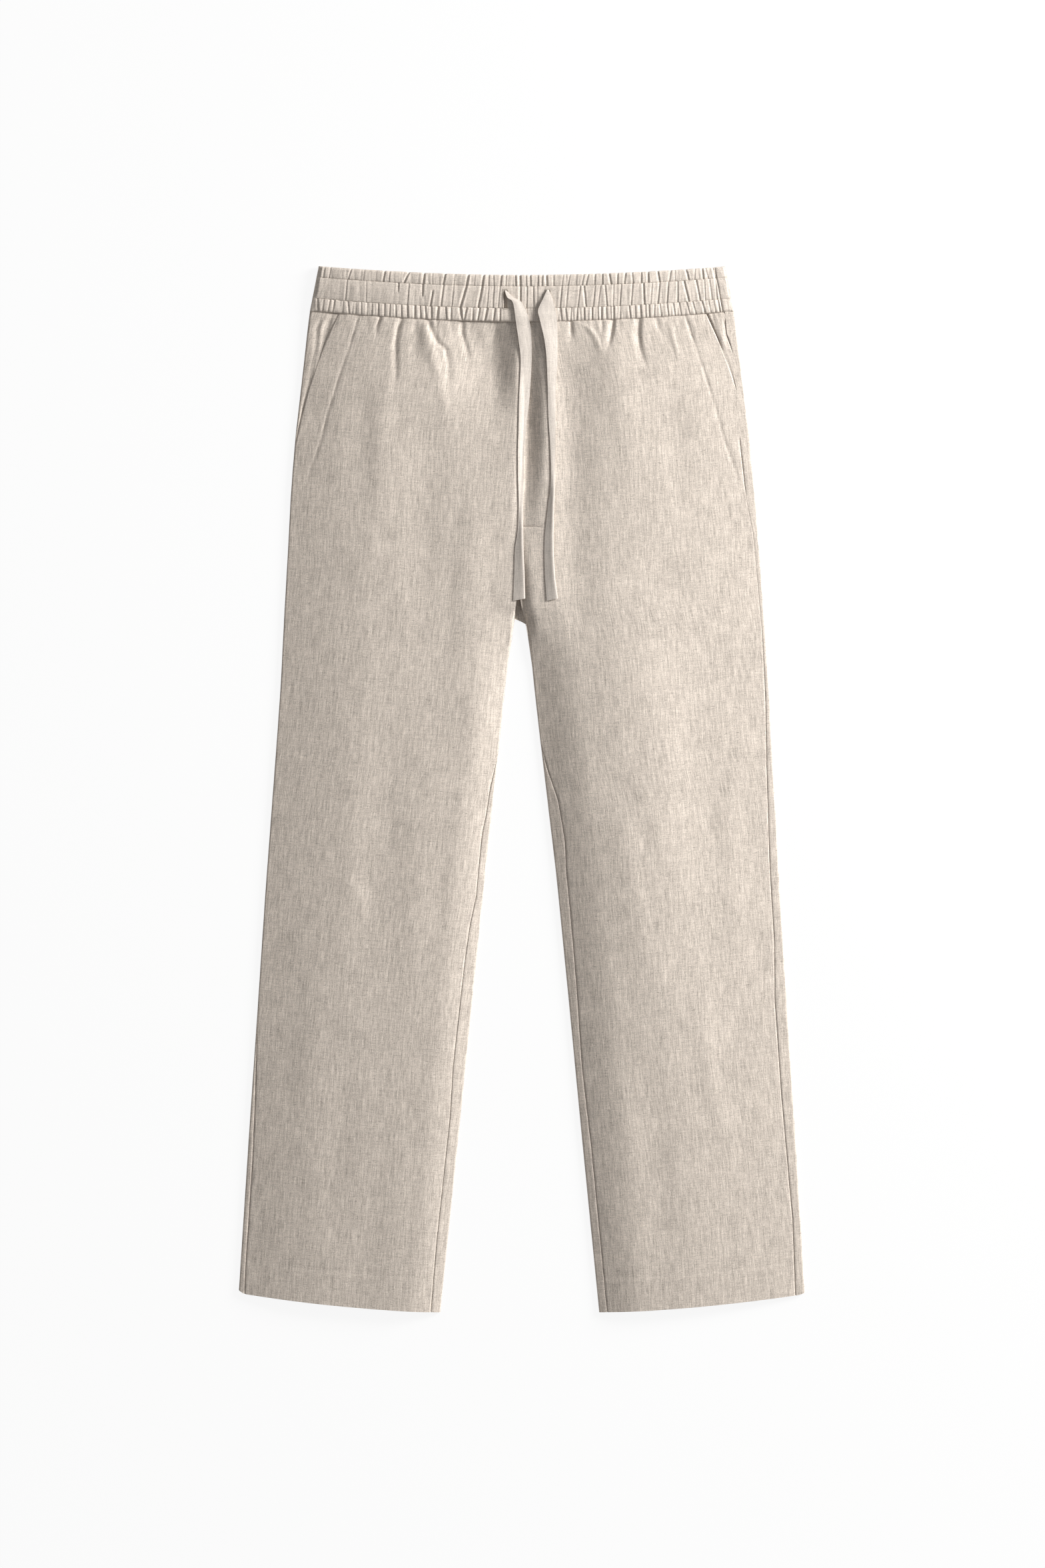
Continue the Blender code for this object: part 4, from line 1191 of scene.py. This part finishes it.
class NodeTree:
    """Adds nodes to a material or group and links them by socket."""

    def __init__(self, tree):
        self.tree = tree

    def add(self, kind, settings=(), **inputs):
        node = self.tree.nodes.new(kind)
        for key, value in dict(settings).items():
            setattr(node, key, value)
        for key, value in inputs.items():
            socket = node.inputs[int(key[1:])] if key[0] == "i" and key[1:].isdigit() else (
                node.inputs[key.replace("_", " ")])
            self.set(socket, value)
        return node

    def set(self, socket, value):
        if isinstance(value, bpy.types.NodeSocket):
            self.tree.links.new(value, socket)
        else:
            socket.default_value = value

    def maths(self, operation, *values):
        node = self.tree.nodes.new("ShaderNodeMath")
        node.operation = operation
        for socket, value in zip(node.inputs, values):
            self.set(socket, value)
        return node.outputs[0]

    def scaled(self, vector, across, down, slide=0.0):
        """The weave's coordinates, so that one noise cell is across by down metres."""
        node = self.add(
            "ShaderNodeMapping", Vector=vector, Scale=(1 / across, 1 / down, 1.0),
            Location=(slide, slide * 0.7, 0.0),
        )
        return node.outputs["Vector"]

    def noise(self, vector, detail=2.0, roughness=0.6):
        node = self.add(
            "ShaderNodeTexNoise", {"noise_dimensions": "2D"}, Vector=vector, Scale=1.0,
            Detail=detail, Roughness=roughness,
        )
        return node.outputs["Fac"]

    def stretch(self, value, low, high, to_low=0.0, to_high=1.0):
        node = self.add(
            "ShaderNodeMapRange", i0=value, i1=low, i2=high, i3=to_low, i4=to_high
        )
        return node.outputs[0]

    def mix(self, share, first, second, blend="MIX"):
        node = self.add("ShaderNodeMix", {"data_type": "RGBA", "blend_type": blend})
        self.set(node.inputs[0], share)
        self.set(node.inputs[6], first)
        self.set(node.inputs[7], second)
        return node.outputs[2]


def new_group(name, inputs, outputs):
    group = bpy.data.node_groups.new(name, "ShaderNodeTree")
    for kind, label, value in inputs:
        socket = group.interface.new_socket(label, in_out="INPUT", socket_type=kind)
        if value is not None:
            socket.default_value = value
    for kind, label in outputs:
        group.interface.new_socket(label, in_out="OUTPUT", socket_type=kind)
    tree = NodeTree(group)
    return group, tree, tree.add("NodeGroupInput").outputs, tree.add("NodeGroupOutput").inputs


def linen_yarns_group():
    """Uneven linen yarns: streaks along the warp, shorter ones along the weft, and slubs."""
    found = bpy.data.node_groups.get("linen yarns")
    if found:
        return found
    group, tree, given, made = new_group(
        "linen yarns",
        [
            ("NodeSocketVector", "Weave", None),
            ("NodeSocketColor", "Colour", (0.6, 0.54, 0.47, 1)),
            ("NodeSocketColor", "Light slub", (0.80, 0.76, 0.69, 1)),
            ("NodeSocketColor", "Dark slub", (0.20, 0.17, 0.135, 1)),
            ("NodeSocketFloat", "Unevenness", 1.0),
            ("NodeSocketFloat", "Yarn pitch", 0.00055),
        ],
        [("NodeSocketColor", "Colour"), ("NodeSocketFloat", "Relief")],
    )
    weave = given["Weave"]
    warp = tree.noise(tree.scaled(weave, 0.00085, 0.016), 2.0, 0.65)
    warp_broad = tree.noise(tree.scaled(weave, 0.0026, 0.040, 3.1), 2.0, 0.6)
    weft = tree.noise(tree.scaled(weave, 0.010, 0.00085, 7.7), 2.0, 0.65)
    weft_broad = tree.noise(tree.scaled(weave, 0.030, 0.0028, 5.9), 2.0, 0.55)
    speckle = tree.noise(tree.scaled(weave, 0.0010, 0.0013, 1.7), 2.0, 0.7)
    cloud = tree.noise(tree.scaled(weave, 0.022, 0.050, 9.3), 3.0, 0.55)
    # each noise is centred on a half, and adds light or dark in its own measure
    total = None
    for value, weight in (
        (warp, 0.66), (warp_broad, 0.30), (weft, 0.30), (weft_broad, 0.12),
        (speckle, 0.50), (cloud, 0.14),
    ):
        share = tree.maths("MULTIPLY", tree.maths("SUBTRACT", value, 0.5), weight * 1.5)
        total = share if total is None else tree.maths("ADD", total, share)
    shade = tree.maths("ADD", 1.0, tree.maths("MULTIPLY", total, given["Unevenness"]))
    shade = tree.maths("MINIMUM", tree.maths("MAXIMUM", shade, 0.45), 1.5)
    shaded = tree.add("ShaderNodeVectorMath", {"operation": "SCALE"})
    tree.set(shaded.inputs[0], given["Colour"])
    tree.set(shaded.inputs["Scale"], shade)
    light = tree.noise(tree.scaled(weave, 0.0011, 0.0085, 12.1), 1.0, 0.5)
    light = tree.stretch(light, 0.66, 0.80, 0.0, 0.70)
    dark = tree.noise(tree.scaled(weave, 0.0055, 0.00095, 15.3), 1.0, 0.5)
    dark = tree.stretch(dark, 0.68, 0.82, 0.0, 0.55)
    colour = tree.mix(tree.maths("MULTIPLY", light, given["Unevenness"]),
                      shaded.outputs[0], given["Light slub"])
    colour = tree.mix(tree.maths("MULTIPLY", dark, given["Unevenness"]),
                      colour, given["Dark slub"])
    # over and under: plain weave, each yarn a little off its line
    parts = tree.add("ShaderNodeSeparateXYZ", Vector=weave)
    turn = tree.maths("DIVIDE", math.pi, given["Yarn pitch"])
    wobble = tree.noise(tree.scaled(weave, 0.004, 0.004, 2.2), 1.0, 0.5)
    wobble = tree.maths("MULTIPLY", wobble, 9.0)
    waves = []
    for place in parts.outputs[:2]:
        angle = tree.maths("ADD", tree.maths("MULTIPLY", place, turn), wobble)
        waves.append(tree.maths("SINE", angle))
    over_under = tree.maths("MULTIPLY", *waves)
    relief = tree.maths("ADD", tree.maths("MULTIPLY", over_under, 0.22),
                        tree.maths("MULTIPLY", warp, 0.55))
    relief = tree.maths("ADD", relief, tree.maths("MULTIPLY", weft, 0.35))
    relief = tree.maths("ADD", relief, tree.maths("MULTIPLY", light, 0.25))
    tree.set(made["Colour"], colour)
    tree.set(made["Relief"], relief)
    return group


def linen_material(name, colour, unevenness, relief):
    """Linen with its yarns laid along the piece's own weave."""
    material = bpy.data.materials.new(name)
    material.use_nodes = True
    tree = NodeTree(material.node_tree)
    shader = material.node_tree.nodes["Principled BSDF"]
    weave = tree.add("ShaderNodeUVMap", {"uv_map": "weave"}).outputs["UV"]
    yarns = tree.add("ShaderNodeGroup", {"node_tree": linen_yarns_group()})
    tree.set(yarns.inputs["Weave"], weave)
    yarns.inputs["Colour"].default_value = (*colour, 1)
    yarns.inputs["Unevenness"].default_value = unevenness
    light = [min(1.0, part * 1.38 + 0.02) for part in colour]
    dark = [part * 0.36 for part in colour]
    yarns.inputs["Light slub"].default_value = (*light, 1)
    yarns.inputs["Dark slub"].default_value = (*dark, 1)
    bump = tree.add("ShaderNodeBump", Strength=relief, Distance=0.00022)
    tree.set(bump.inputs["Height"], yarns.outputs["Relief"])
    tree.set(shader.inputs["Base Color"], yarns.outputs["Colour"])
    tree.set(shader.inputs["Normal"], bump.outputs["Normal"])
    shader.inputs["Roughness"].default_value = 0.9
    shader.inputs["Specular IOR Level"].default_value = 0.18
    shader.inputs["Sheen Weight"].default_value = 0.05
    shader.inputs["Sheen Roughness"].default_value = 0.6
    return material


def thread_material(name, colour):
    """Sewing thread: two strands twisted, with painted shade in the grooves where they meet."""
    material = bpy.data.materials.new(name)
    material.use_nodes = True
    tree = NodeTree(material.node_tree)
    shader = material.node_tree.nodes["Principled BSDF"]
    place = tree.add("ShaderNodeTexCoord").outputs["Object"]
    strands = tree.add(
        "ShaderNodeTexWave", {"bands_direction": "DIAGONAL"}, Vector=place, Scale=900.0,
        Distortion=2.0,
    )
    dull = tree.add("ShaderNodeTexNoise", Vector=place, Scale=160.0, Detail=2.0)
    # painted shade: the colour darkens to 0.7 towards the grooves between the twisted strands
    shade = tree.mix(tree.stretch(strands.outputs["Fac"], 0.1, 0.9, 0.0, 0.35),
                     (*colour, 1), (*[part * 0.7 for part in colour], 1))
    shade = tree.mix(tree.stretch(dull.outputs["Fac"], 0.35, 0.7, 0.0, 0.3),
                     shade, (*[min(1, part * 1.15) for part in colour], 1))
    bump = tree.add("ShaderNodeBump", Strength=0.3, Distance=0.0001)
    tree.set(bump.inputs["Height"], strands.outputs["Fac"])
    tree.set(shader.inputs["Base Color"], shade)
    tree.set(shader.inputs["Normal"], bump.outputs["Normal"])
    shader.inputs["Roughness"].default_value = 0.6
    return material


FLOOR_GLOW = 0.90  # how much of the floor's whiteness is its own, so that its shadow stays faint


def seen_by_camera(tree):
    """1 for a ray from the camera, also by way of a shine or of glass, and 0 for the others."""
    rays = tree.add("ShaderNodeLightPath").outputs
    seen = tree.maths("MAXIMUM", rays["Is Camera Ray"], rays["Is Glossy Ray"])
    return tree.maths("MAXIMUM", seen, rays["Is Transmission Ray"])


def floor_material(colour):
    """A pale matt floor that shows nearly white, and keeps the garment's soft shadow."""
    material = bpy.data.materials.new("pale floor")
    material.use_nodes = True
    tree = NodeTree(material.node_tree)
    nodes = material.node_tree.nodes
    shader = nodes["Principled BSDF"]
    shader.inputs["Base Color"].default_value = (*colour, 1)
    shader.inputs["Roughness"].default_value = 0.95
    shader.inputs["Specular IOR Level"].default_value = 0.0
    glow = tree.add("ShaderNodeEmission", Color=(1, 1, 1, 1), Strength=1.0)
    share = tree.maths("MULTIPLY", seen_by_camera(tree), FLOOR_GLOW)
    blend = tree.add(
        "ShaderNodeMixShader", Fac=share, i1=shader.outputs["BSDF"], i2=glow.outputs["Emission"]
    )
    tree.set(nodes["Material Output"].inputs["Surface"], blend.outputs["Shader"])
    return material


def pale_surroundings(world, fill):
    """White to the camera, and an even light of that strength for the rest."""
    world.use_nodes = True
    world.node_tree.nodes.clear()
    tree = NodeTree(world.node_tree)
    strength = tree.stretch(seen_by_camera(tree), 0.0, 1.0, fill, 1.0)
    light = tree.add("ShaderNodeBackground", Color=(1, 1, 1, 1), Strength=strength)
    tree.add("ShaderNodeOutputWorld", Surface=light.outputs["Background"])


# ---------------------------------------------------------------- settings


def colour_property(name, description, default):
    return bpy.props.FloatVectorProperty(
        name=name, description=description, default=default, size=3, min=0.0, max=1.0,
        subtype="COLOR",
    )


def length_property(name, description, default, low, high):
    return bpy.props.FloatProperty(
        name=name, description=description, default=default, min=low, max=high,
        subtype="DISTANCE", unit="LENGTH", precision=4,
    )


class JOGGERS_PG_cloth(bpy.types.PropertyGroup):
    leg_colour: colour_property("Leg linen", "Colour of the leg panels", (0.600, 0.530, 0.464))
    band_colour: colour_property("Band linen", "Colour of the waistband", (0.620, 0.550, 0.484))
    facing_colour: colour_property("Facing linen", "Colour of the facings", (0.600, 0.530, 0.464))
    leg_wall: length_property("Leg cloth", "Thickness of the leg panels", 0.0008, 0.0003, 0.002)
    band_wall: length_property("Band", "Thickness of the casing with its elastic", 0.0026, 0.001, 0.004)
    unevenness: bpy.props.FloatProperty(
        name="Unevenness", description="How much the linen's yarns differ", default=1.0,
        min=0.0, max=2.0, subtype="FACTOR",
    )
    relief: bpy.props.FloatProperty(
        name="Relief", description="How far the yarns stand out", default=0.55, min=0.0, max=1.0,
        subtype="FACTOR",
    )


class JOGGERS_PG_drawstring(bpy.types.PropertyGroup):
    tape_colour: colour_property("Tape", "Colour of the tape", (0.615, 0.555, 0.498))
    tape_width: length_property("Width", "Width of the flat tape", 0.0130, 0.006, 0.025)
    tape_thickness: length_property("Thickness", "Thickness of the tape", 0.0006, 0.0004, 0.0025)
    free_length: length_property("Free length", "Tape outside its buttonhole", 0.305, 0.1, 0.5)


class JOGGERS_PG_stitches(bpy.types.PropertyGroup):
    thread_colour: colour_property("Thread", "Colour of the thread", (0.60, 0.54, 0.47))
    pitch: length_property("Pitch", "From one stitch to the next", 0.0024, 0.001, 0.006)
    length: length_property("Length", "Thread that shows in each stitch", 0.0017, 0.0005, 0.005)
    thickness: length_property("Thickness", "Thickness of the thread", 0.00036, 0.0001, 0.001)


class JOGGERS_PG_stage(bpy.types.PropertyGroup):
    floor_colour: colour_property("Floor", "Colour of the floor", (0.90, 0.90, 0.90))
    key_power: bpy.props.FloatProperty(
        name="Key lamp", description="Power of the raking lamp on the wearer's left",
        default=178.0, min=0.0, unit="POWER",
    )
    key_size: length_property("Key size", "Side of the raking lamp", 1.0, 0.1, 5.0)
    key_distance: length_property("Key distance", "From the garment to the lamp", 3.0, 1.0, 10.0)
    key_height: bpy.props.FloatProperty(
        name="Key angle", description="The raking lamp's angle above the floor",
        default=math.radians(20), min=0.05, max=1.5, subtype="ANGLE", unit="ROTATION",
    )
    key_turn: bpy.props.FloatProperty(
        name="Key turn", description="The raking lamp's turn towards the waist",
        default=math.radians(25), min=-1.5, max=1.5, subtype="ANGLE", unit="ROTATION",
    )
    fill: bpy.props.FloatProperty(
        name="Fill", description="Light from all round", default=0.32, min=0.0, max=1.0,
        subtype="FACTOR",
    )
    camera_height: length_property("Camera height", "Camera above the floor", 3.620, 1.0, 10.0)


GROUPS = {
    "joggers_cloth": JOGGERS_PG_cloth,
    "joggers_drawstring": JOGGERS_PG_drawstring,
    "joggers_stitches": JOGGERS_PG_stitches,
    "joggers_stage": JOGGERS_PG_stage,
}


# Where across the linen each piece's weave starts, in metres, so that no two share their slubs.
WEAVE_FROM = {
    "back_left": 2.9, "back_right": 1.1, "front_left": 0.25, "front_right": -0.25,
    "facing_left": 4.5, "facing_right": 3.5, "band": 6.0, "tape_left": 12.0, "tape_right": 13.0,
}


def finish_of(name, colour, unevenness, relief):
    """The finish of that name, made once."""
    return bpy.data.materials.get(name) or linen_material(name, colour, unevenness, relief)


def leg_linen(scene):
    cloth = scene.joggers_cloth
    return finish_of("leg linen", cloth.leg_colour, cloth.unevenness, cloth.relief)


def band_linen(scene):
    cloth = scene.joggers_cloth
    return finish_of("band linen", cloth.band_colour, cloth.unevenness * 0.9, cloth.relief)


def thread(scene):
    colour = scene.joggers_stitches.thread_colour
    return bpy.data.materials.get("thread") or thread_material("thread", colour)


def joins(piece, node):
    """The piece rides on the garment in the place of its solid, which is hidden."""
    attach(piece, "root")
    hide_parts(node)


# ---------------------------------------------------------------- operators


class JOGGERS_OT_backs(bpy.types.Operator):
    """Make the two back panels, which turn round both edges of each leg"""

    bl_idname = "joggers.make_backs"
    bl_label = "Make the backs"

    def execute(self, context):
        wall = context.scene.joggers_cloth.leg_wall
        for name in SIDES:
            grid = back_grid(name)
            weave = weave_of(grid, WEAVE_FROM["back_" + name])
            piece = cloth_grid("back_cloth_" + name, grid, weave, wall, leg_linen(context.scene))
            joins(piece, "back_" + name)
        return {"FINISHED"}


class JOGGERS_OT_fronts(bpy.types.Operator):
    """Make the two front panels with their creases and turned-up hems"""

    bl_idname = "joggers.make_fronts"
    bl_label = "Make the fronts"

    def execute(self, context):
        wall = context.scene.joggers_cloth.leg_wall
        for name in SIDES:
            grid = front_grid(name)
            weave = weave_of(grid, WEAVE_FROM["front_" + name])
            piece = cloth_grid("front_cloth_" + name, grid, weave, wall, leg_linen(context.scene))
            joins(piece, "front_" + name)
        return {"FINISHED"}


class JOGGERS_OT_facings(bpy.types.Operator):
    """Make the facings that show in the mouths of the slant pockets"""

    bl_idname = "joggers.make_facings"
    bl_label = "Make the pocket facings"

    def execute(self, context):
        wall = context.scene.joggers_cloth.leg_wall
        for name in SIDES:
            grid = facing_grid(name)
            weave = weave_of(grid, WEAVE_FROM["facing_" + name])
            piece = cloth_grid("facing_cloth_" + name, grid, weave, wall, leg_linen(context.scene))
            joins(piece, "pocket_facing_" + name)
        return {"FINISHED"}


class JOGGERS_OT_waistband(bpy.types.Operator):
    """Make the gathered waistband, front and back"""

    bl_idname = "joggers.make_waistband"
    bl_label = "Make the waistband"

    def execute(self, context):
        wall = context.scene.joggers_cloth.band_wall
        made = (
            ("band_cloth_back", "waistband_back", waistband_back_grid(), 0.560, ()),
            ("band_cloth_front", "waistband_front", waistband_front_grid(), 0.500,
             ("band_cloth_back",)),
        )
        for name, node, grid, cut_width, under in made:
            weave = weave_of(grid, WEAVE_FROM["band"])
            piece = cloth_grid(name, grid, weave, wall, band_linen(context.scene))
            joins(piece, node)
        return {"FINISHED"}


class JOGGERS_OT_drawstring(bpy.types.Operator):
    """Make the two free ends of the drawstring tape"""

    bl_idname = "joggers.make_drawstring"
    bl_label = "Make the drawstring"

    def execute(self, context):
        tape = context.scene.joggers_drawstring
        finish = finish_of("drawstring linen", tape.tape_colour, 0.5, 0.35)
        for name in TAPES:
            grid = tape_grid(name, tape.tape_thickness)
            weave = weave_of(grid, WEAVE_FROM["tape_" + name])
            piece = cloth_grid("tape_" + name, grid, weave, tape.tape_thickness, finish, offset=0.0)
            joins(piece, "drawstring_" + name)
            middle = laid(grid).mean(axis=1)
        return {"FINISHED"}


def on_front(x, y, name):
    return np.stack([x, y, cloth_height(x, y, name) + 0.00005], axis=1)


MOUTH_ROW_FOOT_Y = {"left": 0.393, "right": 0.350}  # where the mouth's edge stitching ends


def pocket_lines(name):
    """The mouth's edge stitching and the pocket bag's row."""
    side = SIDES[name]
    y = np.linspace(0.458, MOUTH_ROW_FOOT_Y[name], 400)
    x = mouth_line(y) - 0.0016
    edge = on_front(side * x, y, name)
    edge[:, 2] -= seam_dip(mouth_line(y) - x, 0.0008, 0.0003) + 0.0001
    y = np.linspace(0.457, 0.294, 400)
    x = pocket_row_x(y)
    bag = on_front(side * x, y, name)
    bag[:, 2] -= pocket_row_dip(x, y)
    return edge, bag


def fly_line():
    """The foot of the mock fly, from the middle seam out and up."""
    y = np.concatenate([[FLY_FOOT_Y] * 8, FLY_FOOT_Y + np.linspace(0.00005, 0.17, 900)])
    x = np.concatenate([np.linspace(0.003, 0.012, 8), fly_row_x(y[8:])])
    keep = x > 0.0025
    line = on_front(x[keep], y[keep], "left")
    line[:, 2] -= fly_row_dip(x[keep], y[keep])
    return line


def hem_lines(name):
    """The hem's stitched row, on the front and on the back."""
    side = SIDES[name]
    x = np.linspace(0.091, 0.266, 240)
    y = hem_line(x, name) + HEM_TURN_HEIGHT
    front = on_front(side * x, y, name)
    front[:, 2] -= hem_row_dip(x, y, name)
    x = np.linspace(0.086, 0.268, 240)
    back = np.stack([side * x, hem_line(x, name) + HEM_TURN_HEIGHT, 0 * x + 0.0003], axis=1)
    return front, back


def band_lines():
    """The casing's two stitched rows on the front."""
    lines = []
    for share in STITCHED_ROWS:
        half = band_half_width(share) - BAND_WRAP - 0.001
        x = np.linspace(-half, half, 1200)
        z = band_height_at(x, share) - buttonhole_dip(x, band_y(x, share))
        lines.append(np.stack([x, band_y(x, share), z + 0.00008], axis=1))
    return lines


def band_back_lines():
    """The casing's two stitched rows on the back."""
    lines = []
    for share in STITCHED_ROWS:
        x = np.linspace(-0.198, 0.198, 1000)
        z = band_underside(x, share) - 0.00002
        lines.append(np.stack([x, band_y(x, share), np.maximum(z, 0.0002)], axis=1))
    return lines


HOLE_BORDER = 0.0026  # from a buttonhole's middle to its packed thread
HOLE_BAR_OUT = 0.0009  # from its end to the bar there
HOLE_BAR_HALF = 0.0024
HOLE_STITCH = 0.0016


def buttonhole_runs(slit_x):
    """Thread packed closely round a buttonhole, and a bar across each end."""
    runs = []
    low = SLIT_TOP_Y - SLIT_LENGTH
    for offset in (-HOLE_BORDER, HOLE_BORDER):
        y = np.linspace(SLIT_TOP_Y + 0.0006, low - 0.0006, 60)
        x = np.full_like(y, slit_x + offset)
        share = band_share(x, y)
        line = np.stack([x, y, band_height_at(x, share) + 0.0001], axis=1)
        runs.append(stitch_run(line, 0.00075, HOLE_STITCH, 7, cross=True))
    for y_bar in (SLIT_TOP_Y + HOLE_BAR_OUT, low - HOLE_BAR_OUT):
        x = np.linspace(slit_x - HOLE_BAR_HALF, slit_x + HOLE_BAR_HALF, 20)
        y = np.full_like(x, y_bar)
        share = band_share(x, y)
        line = np.stack([x, y, band_height_at(x, share) + 0.0002], axis=1)
        runs.append(stitch_run(line, 0.0006, HOLE_STITCH, 8, cross=True))
    return runs


class JOGGERS_OT_stitches(bpy.types.Operator):
    """Sew the stitched rows: casing, pockets, fly, hems and buttonholes"""

    bl_idname = "joggers.sew_stitches"
    bl_label = "Sew the stitches"

    def execute(self, context):
        given = context.scene.joggers_stitches
        pitch, length, thick = given.pitch, given.length, given.thickness
        finish = thread(context.scene)
        groups = {
            "stitches_band_front": [stitch_run(line, pitch, length, 3) for line in band_lines()],
            "stitches_band_back": [
                stitch_run(line, pitch * 1.1, length, 4) for line in band_back_lines()
            ],
            "stitches_fly": [stitch_run(fly_line(), pitch * 1.05, length * 1.1, 5)],
            "stitches_buttonholes": [
                run for slit_x in SLIT_X.values() for run in buttonhole_runs(slit_x)
            ],
        }
        for name in SIDES:
            edge, bag = pocket_lines(name)
            groups["stitches_pocket_" + name] = [
                stitch_run(edge, pitch, length * 0.9, 6), stitch_run(bag, pitch, length, 7)
            ]
            groups["stitches_hem_" + name] = [
                stitch_run(line, pitch * 1.3, length, 8) for line in hem_lines(name)
            ]
        for name, runs in groups.items():
            piece = sew(name, runs, length, thick, finish)
            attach(piece, "root")
        return {"FINISHED"}


CAMERA_SPOT = (0.0007, 0.0052)  # the camera stands over this place, just off the origin


class JOGGERS_OT_stage(bpy.types.Operator):
    """Set the floor, the lamps, the pale surroundings and the camera"""

    bl_idname = "joggers.set_stage"
    bl_label = "Set the stage"

    def execute(self, context):
        given = context.scene.joggers_stage
        deselect_all()
        bpy.ops.mesh.primitive_plane_add(size=24.0, location=(0, 0, -0.0001))
        floor = bpy.context.object
        floor.name = "pale_floor"
        bpy.ops.object.transform_apply(location=True, rotation=False, scale=False)
        floor.data.materials.append(floor_material(given.floor_colour))
        flat = given.key_distance * math.cos(given.key_height)
        place = (
            flat * math.cos(given.key_turn), flat * math.sin(given.key_turn),
            given.key_distance * math.sin(given.key_height),
        )
        lamp_data = bpy.data.lights.new("raking key", "AREA")
        lamp_data.energy = given.key_power
        lamp_data.size = given.key_size
        lamp_data.color = (1.0, 0.995, 0.985)
        lamp = bpy.data.objects.new("raking key", lamp_data)
        context.scene.collection.objects.link(lamp)
        lamp.location = place
        lamp.rotation_euler = (-lamp.location).to_track_quat("-Z", "Y").to_euler()
        world = context.scene.world or bpy.data.worlds.new("studio")
        context.scene.world = world
        pale_surroundings(world, given.fill)
        camera_data = bpy.data.cameras.new("camera")
        camera_data.lens = 85.0
        camera_data.sensor_width = 36.0
        camera_data.clip_end = 50.0
        camera = bpy.data.objects.new("camera", camera_data)
        context.scene.collection.objects.link(camera)
        camera.location = (*CAMERA_SPOT, given.camera_height)
        context.scene.camera = camera
        context.scene.view_settings.view_transform = "Standard"
        return {"FINISHED"}


OPERATORS = (
    JOGGERS_OT_backs,
    JOGGERS_OT_facings,
    JOGGERS_OT_fronts,
    JOGGERS_OT_waistband,
    JOGGERS_OT_drawstring,
    JOGGERS_OT_stitches,
    JOGGERS_OT_stage,
)


class JOGGERS_PT_panel(bpy.types.Panel):
    """The joggers' settings and pieces"""

    bl_idname = "JOGGERS_PT_panel"
    bl_label = "Linen joggers"
    bl_space_type = "VIEW_3D"
    bl_region_type = "UI"
    bl_category = "Joggers"

    def draw(self, context):
        for name, group in GROUPS.items():
            box = self.layout.box()
            settings = getattr(context.scene, name)
            for key in group.__annotations__:
                box.prop(settings, key)
        column = self.layout.column(align=True)
        for operator in OPERATORS:
            column.operator(operator.bl_idname)


CLASSES = (*GROUPS.values(), *OPERATORS, JOGGERS_PT_panel)


def register():
    for made in CLASSES:
        bpy.utils.register_class(made)
    for name, group in GROUPS.items():
        setattr(bpy.types.Scene, name, bpy.props.PointerProperty(type=group))


def unregister():
    for name in GROUPS:
        delattr(bpy.types.Scene, name)
    for made in reversed(CLASSES):
        bpy.utils.unregister_class(made)


def main():
    register()
    for operator in OPERATORS:
        group, name = operator.bl_idname.split(".")
        getattr(getattr(bpy.ops, group), name)()


if __name__ == "__main__":
    main()
